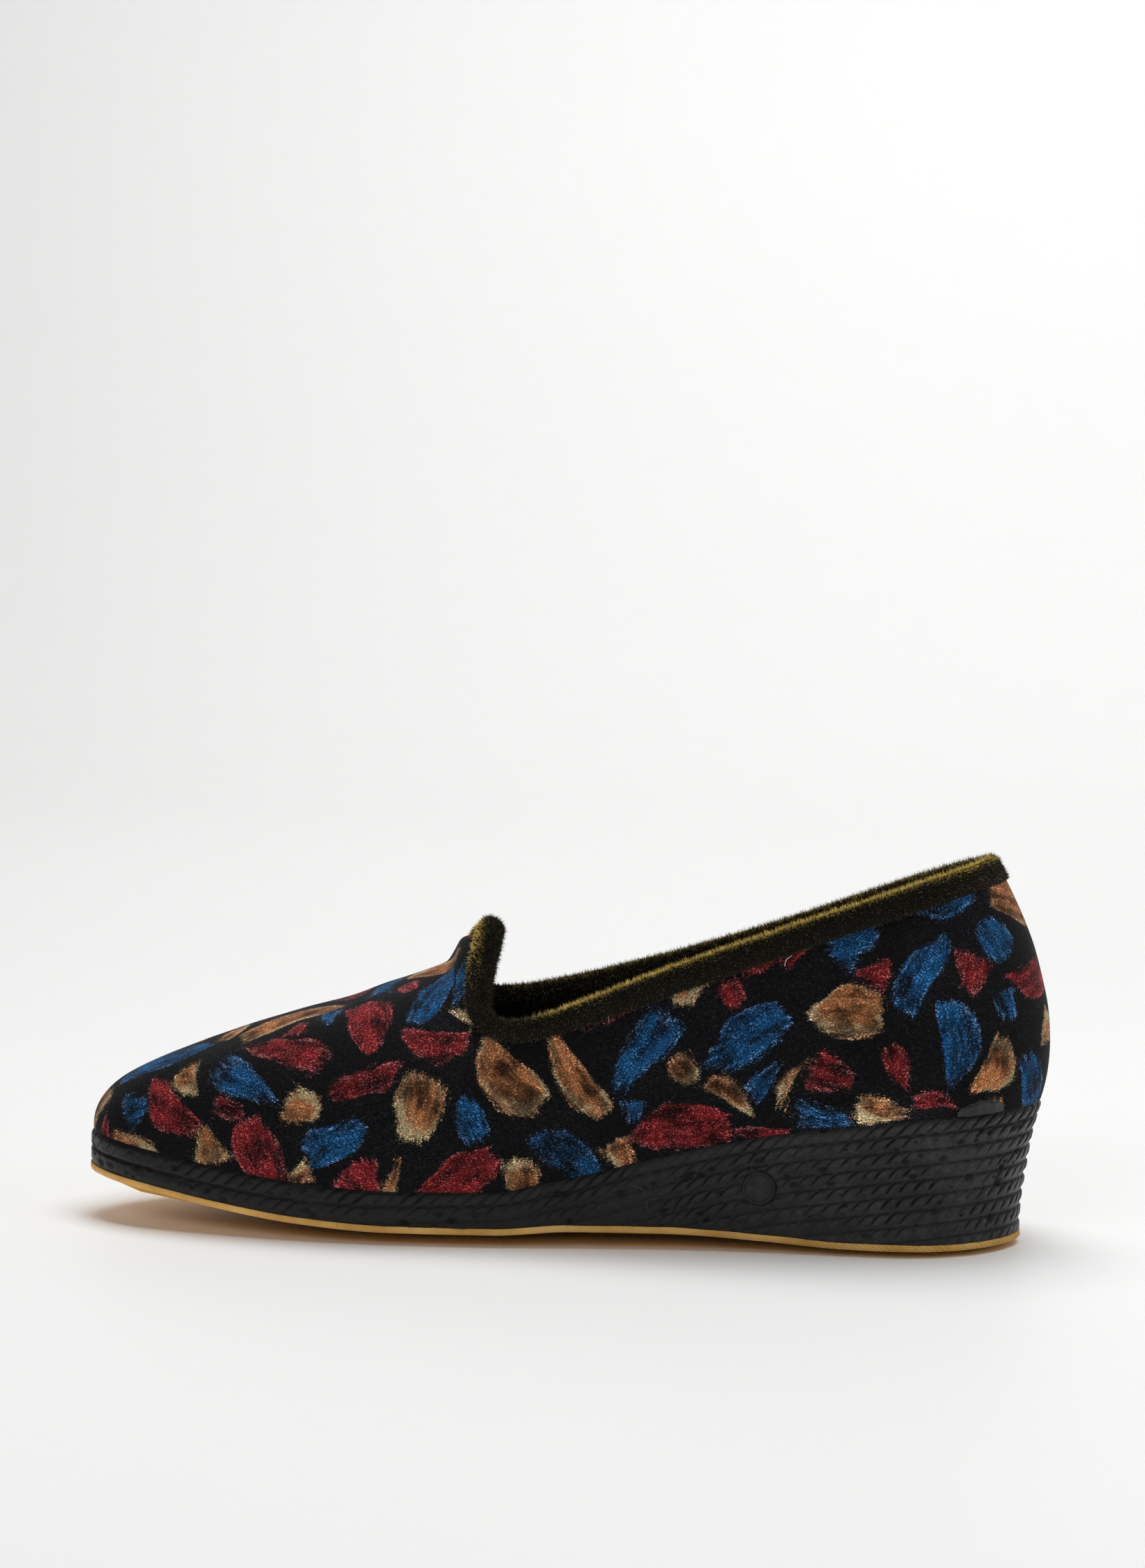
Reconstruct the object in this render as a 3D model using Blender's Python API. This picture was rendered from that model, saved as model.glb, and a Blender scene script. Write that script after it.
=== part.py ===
import math
from collections import namedtuple

import bmesh
import bpy
import numpy as np

for old in list(bpy.data.objects):
    bpy.data.objects.remove(old, do_unlink=True)

# Sizes are in millimetres, toe towards minus X, inner side of the right foot towards minus Y
MM = 0.001
COLUMNS = 80
BEND_WEIGHT = 26.0
GAP = 0.3
ORIGIN_ALONG = -2.1
ORIGIN_ACROSS = 2.1

WALL = 2.0
LIP = 2.4
TAB_RISE = 6.0
TAB_RUN = 13.0

OUTSOLE_THICK = 1.8
BALL_CROWN = 3.4
HEEL_CROWN = 1.7
CROWN_WIDTH = 44.0
CROWN_EDGE = 0.25
CROWN_FADE = (20.0, 78.0)
INSOLE_THICK = 3.0
INSOLE_CLEAR = 0.8
RIB_PITCH = 4.1
RIB_BULGE = 0.75
RIM_ROUND = 0.9
TAPER_POWER = 1.8
SLIVER = 0.9

BINDING_THICK = 1.6
BINDING_OUTER_LEG = 4.6
BINDING_INNER_LEG = 6.0
BINDING_MIDDLE = 2.3

# One row per section round the shoe: sole rim, collar edge, then the pulls that shape the wall between them
Section = namedtuple("Section", "place rim_x rim_y edge_x edge_y edge_z lift lean reach drop tab taper leg")
SECTIONS = (
    Section("toe tip", -132.8, -9.0, -21.2, -0.5, 73.9, 19.5, 1.3, 58.0, 24.0, 1.0, -0.4, 0.8),
    Section("inner toe shoulder", -124.0, -22.0, -19.8, -10.0, 71.9, 19.5, 2.2, 54.0, 21.5, 0.75, -0.4, 1.0),
    Section("inner toe side", -101.0, -31.8, -19.7, -20.5, 66.4, 20.0, 3.6, 42.0, 16.0, 0.2, -0.4, 0.9),
    Section("inner ball", -58.0, -38.3, -17.6, -28.0, 59.0, 19.0, 4.6, 22.0, 13.0, 0.0, -0.3, 0.72),
    Section("inner waist front", -12.0, -36.3, -4.0, -30.8, 58.4, 15.0, 3.6, 4.0, 14.0, 0.0, 0.3, 0.8),
    Section("inner waist", 28.0, -31.2, 27.0, -31.5, 70.6, 15.0, 3.1, 3.0, 15.0, 0.0, 1.2, 1.0),
    Section("inner heel front", 72.0, -30.0, 68.0, -29.0, 85.8, 17.0, 3.9, 3.5, 17.0, 0.0, 2.4, 1.0),
    Section("inner heel side", 109.0, -26.2, 100.0, -20.0, 96.6, 19.0, 4.9, 7.0, 19.0, 0.0, 4.0, 1.0),
    Section("heel back", 127.0, 0.0, 112.8, 0.0, 100.2, 20.0, 6.3, 11.0, 18.0, 0.0, 5.8, 1.0),
    Section("outer heel side", 109.0, 26.4, 99.0, 20.5, 95.2, 19.0, 4.9, 7.0, 19.0, 0.0, 4.0, 1.0),
    Section("outer heel front", 70.0, 31.4, 64.0, 29.6, 82.2, 17.0, 3.9, 3.5, 17.0, 0.0, 2.4, 1.0),
    Section("outer waist", 25.0, 35.6, 21.0, 32.2, 68.0, 15.0, 3.6, 3.0, 15.0, 0.0, 1.2, 1.0),
    Section("outer ball back", -15.0, 41.0, -18.0, 31.5, 58.0, 15.0, 4.1, 6.0, 14.0, 0.0, 0.3, 0.8),
    Section("outer ball", -57.0, 42.8, -32.5, 27.0, 58.0, 19.0, 4.6, 22.0, 13.0, 0.0, -0.3, 0.72),
    Section("outer toe side", -101.0, 31.0, -31.0, 18.0, 65.4, 20.0, 3.6, 42.0, 16.0, 0.2, -0.4, 0.9),
    Section("outer toe shoulder", -125.5, 10.0, -25.2, 8.8, 71.8, 19.5, 2.2, 54.0, 21.5, 0.75, -0.4, 1.0),
)

# One row per station along the sole: ground face lift and whole sole thickness
Station = namedtuple("Station", "x lift stack")
STATIONS = (
    Station(-134.0, 13.0, 11.4),
    Station(-112.0, 10.5, 11.2),
    Station(-90.0, 7.3, 11.2),
    Station(-66.0, 4.6, 11.2),
    Station(-42.0, 3.4, 11.2),
    Station(-14.0, 3.4, 11.8),
    Station(6.0, 4.6, 14.6),
    Station(30.0, 4.5, 20.9),
    Station(56.0, 3.2, 28.1),
    Station(78.0, 1.9, 32.7),
    Station(104.0, 1.7, 35.9),
    Station(130.0, 1.7, 37.5),
)


# A curve through the table rows that never overshoots, so the flat spots stay flat
def profile(x, column):
    knots = np.array([row.x for row in STATIONS])
    values = np.array([getattr(row, column) for row in STATIONS])
    step = np.diff(knots)
    slope = np.diff(values) / step
    lean = np.zeros(len(knots))
    for k in range(1, len(knots) - 1):
        if slope[k - 1] * slope[k] > 0:
            lean[k] = 2.0 * slope[k - 1] * slope[k] / (slope[k - 1] + slope[k])
    lean[0] = slope[0]
    lean[-1] = slope[-1]
    x = np.clip(np.asarray(x, float), knots[0], knots[-1])
    k = np.clip(np.searchsorted(knots, x, side="right") - 1, 0, len(step) - 1)
    h = step[k]
    u = (x - knots[k]) / h
    rise = (2 * u**3 - 3 * u**2 + 1) * values[k] + (3 * u**2 - 2 * u**3) * values[k + 1]
    return rise + h * ((u**3 - 2 * u**2 + u) * lean[k] + (u**3 - u**2) * lean[k + 1])


def ground(x):
    return profile(x, "lift")


def sole_top(x):
    return profile(x, "lift") + profile(x, "stack")


# A closed smooth curve through the section rows, spaced by their distance along the rim
RIM = np.array([(s.rim_x, s.rim_y) for s in SECTIONS])
STRIDE = np.linalg.norm(np.roll(RIM, -1, 0) - RIM, axis=1)
ROUND = float(STRIDE.sum())
KNOTS = np.concatenate(([0.0], np.cumsum(STRIDE)[:-1]))


def around(t, column):
    values = np.array([getattr(s, column) for s in SECTIONS], float)
    count = len(values)
    matrix = np.zeros((count, count))
    right = np.zeros(count)
    for k in range(count):
        before = STRIDE[k - 1]
        after = STRIDE[k]
        matrix[k, k - 1] += before / 6.0
        matrix[k, k] += (before + after) / 3.0
        matrix[k, (k + 1) % count] += after / 6.0
        right[k] = (values[(k + 1) % count] - values[k]) / after - (values[k] - values[k - 1]) / before
    bend = np.linalg.solve(matrix, right)
    t = np.mod(np.asarray(t, float), ROUND)
    k = np.clip(np.searchsorted(KNOTS, t, side="right") - 1, 0, count - 1)
    nxt = (k + 1) % count
    h = STRIDE[k]
    b = (t - KNOTS[k]) / h
    a = 1.0 - b
    return a * values[k] + b * values[nxt] + ((a**3 - a) * bend[k] + (b**3 - b) * bend[nxt]) * h * h / 6.0


def rim_normal(t):
    step = 0.5
    dx = around(np.asarray(t) + step, "rim_x") - around(np.asarray(t) - step, "rim_x")
    dy = around(np.asarray(t) + step, "rim_y") - around(np.asarray(t) - step, "rim_y")
    size = np.hypot(dx, dy)
    return np.stack([dy / size, -dx / size], -1) * OUTWARD


OUTWARD = 1.0
OUTWARD = 1.0 if rim_normal(0.0)[0] < 0 else -1.0


# Columns stand closer where the rim turns, at the toe and the heel
def columns(count):
    t = np.linspace(0.0, ROUND, 2881)
    x = around(t, "rim_x")
    y = around(t, "rim_y")
    n = rim_normal(t)
    run = np.hypot(np.diff(x), np.diff(y))
    turn = np.linalg.norm(np.diff(n, axis=0), axis=1)
    total = np.concatenate(([0.0], np.cumsum(run + BEND_WEIGHT * turn)))
    return np.interp(np.arange(count) * total[-1] / count, total, t)


def smooth(u):
    u = np.clip(u, 0.0, 1.0)
    return u * u * (3.0 - 2.0 * u)


# The rim moved inwards by a distance
def rim_inset(t, inset):
    n = rim_normal(t)
    x = around(t, "rim_x") - n[..., 0] * inset
    y = around(t, "rim_y") - n[..., 1] * inset
    return x, y


# The upper's lining face, one wall inside the velvet: t runs round the shoe and w from the sole up to the collar
def lining_face(t, w):
    n = rim_normal(t)
    foot_x, foot_y = rim_inset(t, LIP)
    foot = np.stack([foot_x, foot_y, sole_top(foot_x) + GAP], -1)
    edge = np.stack([around(t, "edge_x"), around(t, "edge_y"), around(t, "edge_z")], -1)
    fan = foot[..., :2] - edge[..., :2] + n * 20.0
    fan = fan / np.linalg.norm(fan, axis=-1, keepdims=True)
    low = foot.copy()
    low[..., :2] += n * around(t, "lean")[..., None]
    low[..., 2] += around(t, "lift")
    high = edge.copy()
    high[..., :2] += fan * around(t, "reach")[..., None]
    high[..., 2] -= around(t, "drop")
    w = np.asarray(w, float)[..., None]
    u = 1.0 - w
    point = u**3 * foot + 3 * u**2 * w * low + 3 * u * w**2 * high + w**3 * edge
    left = np.linalg.norm(edge - point, axis=-1)
    tab = np.clip(around(t, "tab"), 0.0, None)
    kick = np.clip(1.0 - left / TAB_RUN, 0.0, 1.0)
    point[..., 2] += TAB_RISE * tab * kick**1.6
    return point


def wall_normal(t, w):
    dt = 0.6
    dw = 0.004
    along = lining_face(t + dt, w) - lining_face(t - dt, w)
    up = lining_face(t, np.clip(w + dw, 0, 1)) - lining_face(t, np.clip(w - dw, 0, 1))
    n = np.cross(along, up)
    n = n / np.linalg.norm(n, axis=-1, keepdims=True)
    return n * OUTWARD


# Share w at a distance from the collar edge (minus values are counted up from the sole as a share)
FINE = np.linspace(0.0, 1.0, 241)


def share_at(t, distance=None, part=None):
    result = np.zeros(len(t))
    leg = around(t, "leg")
    for k, here in enumerate(t):
        line = lining_face(np.full(len(FINE), here), FINE)
        run = np.concatenate(([0.0], np.cumsum(np.linalg.norm(np.diff(line, axis=0), axis=1))))
        if distance is not None:
            want = run[-1] - distance * leg[k]
        else:
            want = part * (run[-1] - BINDING_INNER_LEG - 1.0)
        result[k] = np.interp(want, run, FINE)
    return result


# Mesh helpers
def make_node(name, points, faces, colour, roughness):
    mesh = bpy.data.meshes.new(name)
    shift = np.array([ORIGIN_ALONG, ORIGIN_ACROSS, 0.0])
    mesh.from_pydata([tuple((np.asarray(p) - shift) * MM) for p in points], [], faces)
    work = bmesh.new()
    work.from_mesh(mesh)
    bmesh.ops.triangulate(work, faces=work.faces[:], quad_method="FIXED")
    bmesh.ops.recalc_face_normals(work, faces=work.faces[:])
    work.to_mesh(mesh)
    work.free()
    material = bpy.data.materials.new(name + "_material")
    material.use_nodes = True
    shader = material.node_tree.nodes["Principled BSDF"]
    shader.inputs["Base Color"].default_value = (*colour, 1.0)
    shader.inputs["Roughness"].default_value = roughness
    mesh.materials.append(material)
    node = bpy.data.objects.new(name, mesh)
    bpy.context.scene.collection.objects.link(node)
    return node


# A closed tube of cross-sections: layers is a list of point rings, the last ring joins the first
def tube(layers):
    count = len(layers[0])
    rows = len(layers)
    points = [p for layer in layers for p in layer]
    faces = []
    for r in range(rows):
        for k in range(count):
            a = r * count + k
            b = r * count + (k + 1) % count
            c = ((r + 1) % rows) * count + (k + 1) % count
            d = ((r + 1) % rows) * count + k
            faces.append((a, b, c, d))
    return points, faces


# The sole's rim stands off the floor, and the middle half of its ball and heel lies flat on it
def crown(x, middle):
    start, stop = CROWN_FADE
    return middle * (BALL_CROWN + (HEEL_CROWN - BALL_CROWN) * smooth((x - start) / (stop - start)))


# A ladder of faces across a ring; middle is 0 at the rim and 1 in the middle half of a full width
def cap(points, faces, ring, height):
    count = len(ring)
    half = count // 2
    lines = [[ring[0]]]
    for k in range(1, half):
        a = points[ring[k]]
        b = points[ring[count - k]]
        line = [ring[k]]
        wide = min(1.0, (math.dist(a[:2], b[:2]) / CROWN_WIDTH) ** 2)
        for share in CAP_SHARES:
            x = a[0] + (b[0] - a[0]) * share
            y = a[1] + (b[1] - a[1]) * share
            middle = smooth(min(share, 1.0 - share) / CROWN_EDGE) * wide
            points.append(np.array([x, y, float(height(x, middle))]))
            line.append(len(points) - 1)
        line.append(ring[count - k])
        lines.append(line)
    lines.append([ring[half]])
    for one, two in zip(lines[:-1], lines[1:]):
        if len(one) == 1:
            faces.extend((one[0], two[k], two[k + 1]) for k in range(len(two) - 1))
        elif len(two) == 1:
            faces.extend((one[k], two[0], one[k + 1]) for k in range(len(one) - 1))
        else:
            faces.extend((one[k], two[k], two[k + 1], one[k + 1]) for k in range(len(one) - 1))


CAP_SHARES = (0.25, 0.5, 0.75)


# A slab between a top and a bottom ring; rows hold point numbers and may repeat where a rib is cut off
def slab(rings, top, bottom):
    count = len(rings[0])
    points = []
    numbers = []
    for ring in rings:
        row = []
        for k in range(count):
            if numbers and np.allclose(ring[k], points[numbers[-1][k]], atol=1e-6):
                row.append(numbers[-1][k])
            else:
                points.append(ring[k])
                row.append(len(points) - 1)
        numbers.append(row)
    faces = []
    for one, two in zip(numbers[:-1], numbers[1:]):
        for k in range(count):
            nxt = (k + 1) % count
            face = []
            for corner in (one[k], one[nxt], two[nxt], two[k]):
                if corner not in face:
                    face.append(corner)
            if len(face) > 2:
                faces.append(tuple(face))
    cap(points, faces, numbers[0], top)
    cap(points, faces, numbers[-1], bottom)
    return points, faces


T = columns(COLUMNS)


# The wedge's side pulls in from its top edge down to the ground, most of all behind the heel
def side_inset(t, depth, height):
    share = np.clip(depth / height, 0.0, 1.0)
    return around(t, "taper") * (1.0 - (1.0 - share) ** TAPER_POWER)


def wedge_base(x):
    return ground(x) + OUTSOLE_THICK + GAP


def build_wedge():
    rim_x, rim_y = rim_inset(T, RIM_ROUND)
    top = sole_top(rim_x)
    height = top - wedge_base(rim_x)
    rings = [np.stack([rim_x, rim_y, top], -1)]
    depth = 0.0
    crest = True
    while depth < height.max():
        depth += RIB_PITCH / 2.0
        cut = depth > height - SLIVER
        down = np.where(cut, height, depth)
        bulge = np.where(cut, 0.4, 0.0 if crest else 1.0) * RIB_BULGE
        x, y = rim_inset(T, side_inset(T, down, height) + bulge)
        base = wedge_base(x)
        z = np.where(cut, base, sole_top(x) - depth)
        rings.append(np.stack([x, y, z], -1))
        crest = not crest
    points, faces = slab(rings, lambda x, middle: sole_top(x), lambda x, middle: wedge_base(x) - crown(x, middle))
    make_node("wedge_sole", points, faces, (0.024, 0.026, 0.028), 0.62)


def build_outsole():
    rim_x, rim_y = rim_inset(T, 0.0)
    height = sole_top(rim_x) - wedge_base(rim_x)
    rings = []
    for share in (1.0, 0.0):
        x, y = rim_inset(T, side_inset(T, height, height) + 0.2 * RIB_BULGE)
        rings.append(np.stack([x, y, ground(x) + share * OUTSOLE_THICK], -1))
    points, faces = slab(
        rings,
        lambda x, middle: ground(x) + OUTSOLE_THICK - crown(x, middle),
        lambda x, middle: ground(x) - crown(x, middle),
    )
    make_node("outsole", points, faces, (0.55, 0.35, 0.10), 0.7)


def build_insole():
    inset = LIP + INSOLE_CLEAR
    rings = []
    for share in (1.0, 0.0):
        x, y = rim_inset(T, inset)
        rings.append(np.stack([x, y, sole_top(x) + GAP + share * INSOLE_THICK], -1))
    points, faces = slab(
        rings,
        lambda x, middle: sole_top(x) + GAP + INSOLE_THICK,
        lambda x, middle: sole_top(x) + GAP,
    )
    make_node("insole", points, faces, (0.02, 0.02, 0.022), 0.9)


# Rows up the wall: even steps to just under the binding, then the binding's own stops up to the edge
WALL_STEPS = 9
WALL_CROWD = 1.45
LEG_STOPS = (BINDING_INNER_LEG, BINDING_OUTER_LEG, BINDING_MIDDLE, 0.0)


def wall_shares():
    shares = [share_at(T, part=(k / WALL_STEPS) ** WALL_CROWD) for k in range(WALL_STEPS + 1)]
    return shares + [share_at(T, distance=stop) for stop in LEG_STOPS]


def build_upper():
    shares = wall_shares()
    lining = [lining_face(T, w) for w in shares]
    velvet = [lining_face(T, w) + wall_normal(T, w) * WALL for w in shares]
    velvet[0][:, 2] = sole_top(velvet[0][:, 0]) + GAP
    points, faces = tube(velvet + lining[::-1])
    make_node("upper", points, faces, (0.03, 0.03, 0.04), 0.9)


# The binding's cross-section: how far out from the lining face and how far down from the edge
Fold = namedtuple("Fold", "place out stop rise")
RISE = GAP + BINDING_THICK
IN = -GAP - BINDING_THICK
OUT = WALL + GAP + BINDING_THICK
FOLDS = (
    Fold("channel inner foot", -GAP, BINDING_INNER_LEG, 0.0),
    Fold("inner foot", -GAP - 0.7 * BINDING_THICK, BINDING_INNER_LEG, 0.0),
    Fold("inner swell", IN, BINDING_OUTER_LEG, 0.0),
    Fold("inner middle", IN, BINDING_MIDDLE, 0.0),
    Fold("inner shoulder", 0.8 * IN, 0.0, 0.3 * BINDING_THICK),
    Fold("top inner", 0.1 * IN, 0.0, RISE),
    Fold("top outer", WALL + 0.1 * RISE, 0.0, RISE),
    Fold("outer shoulder", 0.8 * OUT + 0.2 * WALL, 0.0, 0.3 * BINDING_THICK),
    Fold("outer middle", OUT, BINDING_MIDDLE, 0.0),
    Fold("outer foot", OUT - 0.3 * BINDING_THICK, BINDING_OUTER_LEG, 0.0),
    Fold("channel outer foot", WALL + GAP, BINDING_OUTER_LEG, 0.0),
    Fold("channel outer middle", WALL + GAP, BINDING_MIDDLE, 0.0),
    Fold("channel outer top", WALL + GAP, 0.0, GAP),
    Fold("channel inner top", -GAP, 0.0, GAP),
    Fold("channel inner middle", -GAP, BINDING_MIDDLE, 0.0),
    Fold("channel inner low", -GAP, BINDING_OUTER_LEG, 0.0),
)


def build_binding():
    layers = []
    for fold in FOLDS:
        w = share_at(T, distance=fold.stop)
        near = share_at(T, distance=fold.stop + 1.0)
        face = lining_face(T, w)
        up = face - lining_face(T, near)
        up = up / np.linalg.norm(up, axis=-1, keepdims=True)
        layers.append(face + wall_normal(T, w) * fold.out + up * fold.rise)
    points, faces = tube(layers)
    make_node("collar_binding", points, faces, (0.05, 0.045, 0.02), 0.95)


build_outsole()
build_wedge()
build_insole()
build_upper()
build_binding()
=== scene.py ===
import math
import bmesh
import bpy
import numpy as np
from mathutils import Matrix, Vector


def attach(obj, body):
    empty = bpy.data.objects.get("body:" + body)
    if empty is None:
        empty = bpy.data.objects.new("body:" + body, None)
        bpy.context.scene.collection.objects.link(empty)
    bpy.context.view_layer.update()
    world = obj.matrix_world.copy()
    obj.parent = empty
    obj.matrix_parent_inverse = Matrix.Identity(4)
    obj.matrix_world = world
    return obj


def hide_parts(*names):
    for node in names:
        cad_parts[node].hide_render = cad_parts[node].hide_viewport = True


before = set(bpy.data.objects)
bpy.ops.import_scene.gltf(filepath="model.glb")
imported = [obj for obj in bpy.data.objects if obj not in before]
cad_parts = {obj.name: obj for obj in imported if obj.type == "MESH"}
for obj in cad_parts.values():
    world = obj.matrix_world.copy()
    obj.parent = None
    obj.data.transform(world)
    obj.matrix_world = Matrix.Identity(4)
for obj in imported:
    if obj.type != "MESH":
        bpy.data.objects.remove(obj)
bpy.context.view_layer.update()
scene = bpy.context.scene
print("frame loaded")

# the last, in millimetres: toe towards -X, inner side of the right foot towards -Y
last = {"gap": 0.3, "wall": 2.0, "lip": 2.4, "tabRise": 6.0, "tabRun": 13.0, "bendWeight": 26.0,
        "originAlong": -2.1, "originAcross": 2.1, "ballCrown": 3.4, "heelCrown": 1.7, "crownWidth": 44.0,
        "crownEdge": 0.25, "crownFrom": 20, "crownRun": 58, "fanOut": 20, "fineSteps": 5761}
sectionColumns = ("rimX", "rimY", "edgeX", "edgeY", "edgeZ", "lift", "lean", "reach", "drop", "tab", "taper",
                  "leg")
sections = {
    "toe tip": (-132.8, -9.0, -21.2, -0.5, 73.9, 19.5, 1.3, 58.0, 24.0, 1.0, -0.4, 0.8),
    "inner toe shoulder": (-124.0, -22.0, -19.8, -10.0, 71.9, 19.5, 2.2, 54.0, 21.5, 0.75, -0.4, 1.0),
    "inner toe side": (-101.0, -31.8, -19.7, -20.5, 66.4, 20.0, 3.6, 42.0, 16.0, 0.2, -0.4, 0.9),
    "inner ball": (-58.0, -38.3, -17.6, -28.0, 59.0, 19.0, 4.6, 22.0, 13.0, 0.0, -0.3, 0.72),
    "inner waist front": (-12.0, -36.3, -4.0, -30.8, 58.4, 15.0, 3.6, 4.0, 14.0, 0.0, 0.3, 0.8),
    "inner waist": (28.0, -31.2, 27.0, -31.5, 70.6, 15.0, 3.1, 3.0, 15.0, 0.0, 1.2, 1.0),
    "inner heel front": (72.0, -30.0, 68.0, -29.0, 85.8, 17.0, 3.9, 3.5, 17.0, 0.0, 2.4, 1.0),
    "inner heel side": (109.0, -26.2, 100.0, -20.0, 96.6, 19.0, 4.9, 7.0, 19.0, 0.0, 4.0, 1.0),
    "heel back": (127.0, 0.0, 112.8, 0.0, 100.2, 20.0, 6.3, 11.0, 18.0, 0.0, 5.8, 1.0),
    "outer heel side": (109.0, 26.4, 99.0, 20.5, 95.2, 19.0, 4.9, 7.0, 19.0, 0.0, 4.0, 1.0),
    "outer heel front": (70.0, 31.4, 64.0, 29.6, 82.2, 17.0, 3.9, 3.5, 17.0, 0.0, 2.4, 1.0),
    "outer waist": (25.0, 35.6, 21.0, 32.2, 68.0, 15.0, 3.6, 3.0, 15.0, 0.0, 1.2, 1.0),
    "outer ball back": (-15.0, 41.0, -18.0, 31.5, 58.0, 15.0, 4.1, 6.0, 14.0, 0.0, 0.3, 0.8),
    "outer ball": (-57.0, 42.8, -32.5, 27.0, 58.0, 19.0, 4.6, 22.0, 13.0, 0.0, -0.3, 0.72),
    "outer toe side": (-101.0, 31.0, -31.0, 18.0, 65.4, 20.0, 3.6, 42.0, 16.0, 0.2, -0.4, 0.9),
    "outer toe shoulder": (-125.5, 10.0, -25.2, 8.8, 71.8, 19.5, 2.2, 54.0, 21.5, 0.75, -0.4, 1.0),
}
# stations along the sole: place, lift of the ground face at the rim, whole thickness
stationX = np.array([-134, -112, -90, -66, -42, -14, 6, 30, 56, 78, 104, 130], float)
stationLift = np.array([13.0, 10.5, 7.3, 4.6, 3.4, 3.4, 4.6, 4.5, 3.2, 1.9, 1.7, 1.7])
stationStack = np.array([11.4, 11.2, 11.2, 11.2, 11.2, 11.8, 14.6, 20.9, 28.1, 32.7, 35.9, 37.5])

grid = np.array(list(sections.values()))
stride = np.linalg.norm(np.roll(grid[:, :2], -1, 0) - grid[:, :2], axis=1)
roundLength = float(stride.sum())
knots = np.concatenate(([0.0], np.cumsum(stride)[:-1]))


def solveBends(values):  # second slopes of a closed smooth curve through the rows
    count = len(values)
    matrix = np.zeros((count, count))
    right = np.zeros(count)
    for k in range(count):
        before, after = stride[k - 1], stride[k]
        matrix[k, k - 1] += before / 6
        matrix[k, k] += (before + after) / 3
        matrix[k, (k + 1) % count] += after / 6
        right[k] = (values[(k + 1) % count] - values[k]) / after - (values[k] - values[k - 1]) / before
    return np.linalg.solve(matrix, right)


bends = {name: solveBends(grid[:, k]) for k, name in enumerate(sectionColumns)}


def around(t, name):
    values, bend = grid[:, sectionColumns.index(name)], bends[name]
    t = np.mod(np.asarray(t, float), roundLength)
    k = np.clip(np.searchsorted(knots, t, side="right") - 1, 0, len(knots) - 1)
    n = (k + 1) % len(knots)
    h = stride[k]
    b = (t - knots[k]) / h
    a = 1 - b
    return a * values[k] + b * values[n] + ((a**3 - a) * bend[k] + (b**3 - b) * bend[n]) * h * h / 6


def profile(x, values):  # never overshoots, so flat spots stay flat
    step = np.diff(stationX)
    slope = np.diff(values) / step
    lean = np.zeros(len(values))
    for k in range(1, len(values) - 1):
        if slope[k - 1] * slope[k] > 0:
            lean[k] = 2 * slope[k - 1] * slope[k] / (slope[k - 1] + slope[k])
    lean[0], lean[-1] = slope[0], slope[-1]
    x = np.clip(np.asarray(x, float), stationX[0], stationX[-1])
    k = np.clip(np.searchsorted(stationX, x, side="right") - 1, 0, len(step) - 1)
    u = (x - stationX[k]) / step[k]
    rise = (2 * u**3 - 3 * u**2 + 1) * values[k] + (3 * u**2 - 2 * u**3) * values[k + 1]
    return rise + step[k] * ((u**3 - 2 * u**2 + u) * lean[k] + (u**3 - u**2) * lean[k + 1])


def ground(x):
    return profile(x, stationLift)


def soleTop(x):
    return profile(x, stationLift) + profile(x, stationStack)


def rimNormal(t):
    dx = around(np.asarray(t) + 0.5, "rimX") - around(np.asarray(t) - 0.5, "rimX")
    dy = around(np.asarray(t) + 0.5, "rimY") - around(np.asarray(t) - 0.5, "rimY")
    size = np.hypot(dx, dy)
    return np.stack([dy / size, -dx / size], -1)


def rimInset(t, inset):
    n = rimNormal(t)
    return around(t, "rimX") - n[..., 0] * inset, around(t, "rimY") - n[..., 1] * inset


def rimRuns():  # fine steps round the rim and the length of each
    t = np.linspace(0, roundLength, last["fineSteps"])
    return t, np.hypot(np.diff(around(t, "rimX")), np.diff(around(t, "rimY")))


def spread(count):  # columns round the shoe, closer where the rim turns
    t, run = rimRuns()
    turn = np.linalg.norm(np.diff(rimNormal(t), axis=0), axis=1)
    total = np.concatenate(([0], np.cumsum(run + last["bendWeight"] * turn)))
    return np.interp(np.arange(count) * total[-1] / count, total, t)


def arcAt(t):  # true length along the rim
    fine, run = rimRuns()
    return np.interp(t, fine, np.concatenate(([0], np.cumsum(run))))


def smooth(u):
    u = np.clip(u, 0, 1)
    return u * u * (3 - 2 * u)


def liningFace(t, w):  # inner face of the upper: t round the shoe, w from sole to collar
    n = rimNormal(t)
    footX, footY = rimInset(t, last["lip"])
    foot = np.stack([footX, footY, soleTop(footX) + last["gap"]], -1)
    edge = np.stack([around(t, "edgeX"), around(t, "edgeY"), around(t, "edgeZ")], -1)
    fan = foot[..., :2] - edge[..., :2] + n * last["fanOut"]
    fan = fan / np.linalg.norm(fan, axis=-1, keepdims=True)
    low, high = foot.copy(), edge.copy()
    low[..., :2] += n * around(t, "lean")[..., None]
    low[..., 2] += around(t, "lift")
    high[..., :2] += fan * around(t, "reach")[..., None]
    high[..., 2] -= around(t, "drop")
    w = np.asarray(w, float)[..., None]
    u = 1 - w
    point = u**3 * foot + 3 * u**2 * w * low + 3 * u * w**2 * high + w**3 * edge
    left = np.linalg.norm(edge - point, axis=-1)
    kick = np.clip(1 - left / last["tabRun"], 0, 1)
    point[..., 2] += last["tabRise"] * np.clip(around(t, "tab"), 0, None) * kick**1.6
    return point


def wallNormal(t, w):
    along = liningFace(t + 0.6, w) - liningFace(t - 0.6, w)
    up = liningFace(t, np.clip(w + 0.004, 0, 1)) - liningFace(t, np.clip(w - 0.004, 0, 1))
    n = np.cross(along, up)
    return n / np.linalg.norm(n, axis=-1, keepdims=True)


fineShare = np.linspace(0, 1, 161)


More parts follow.
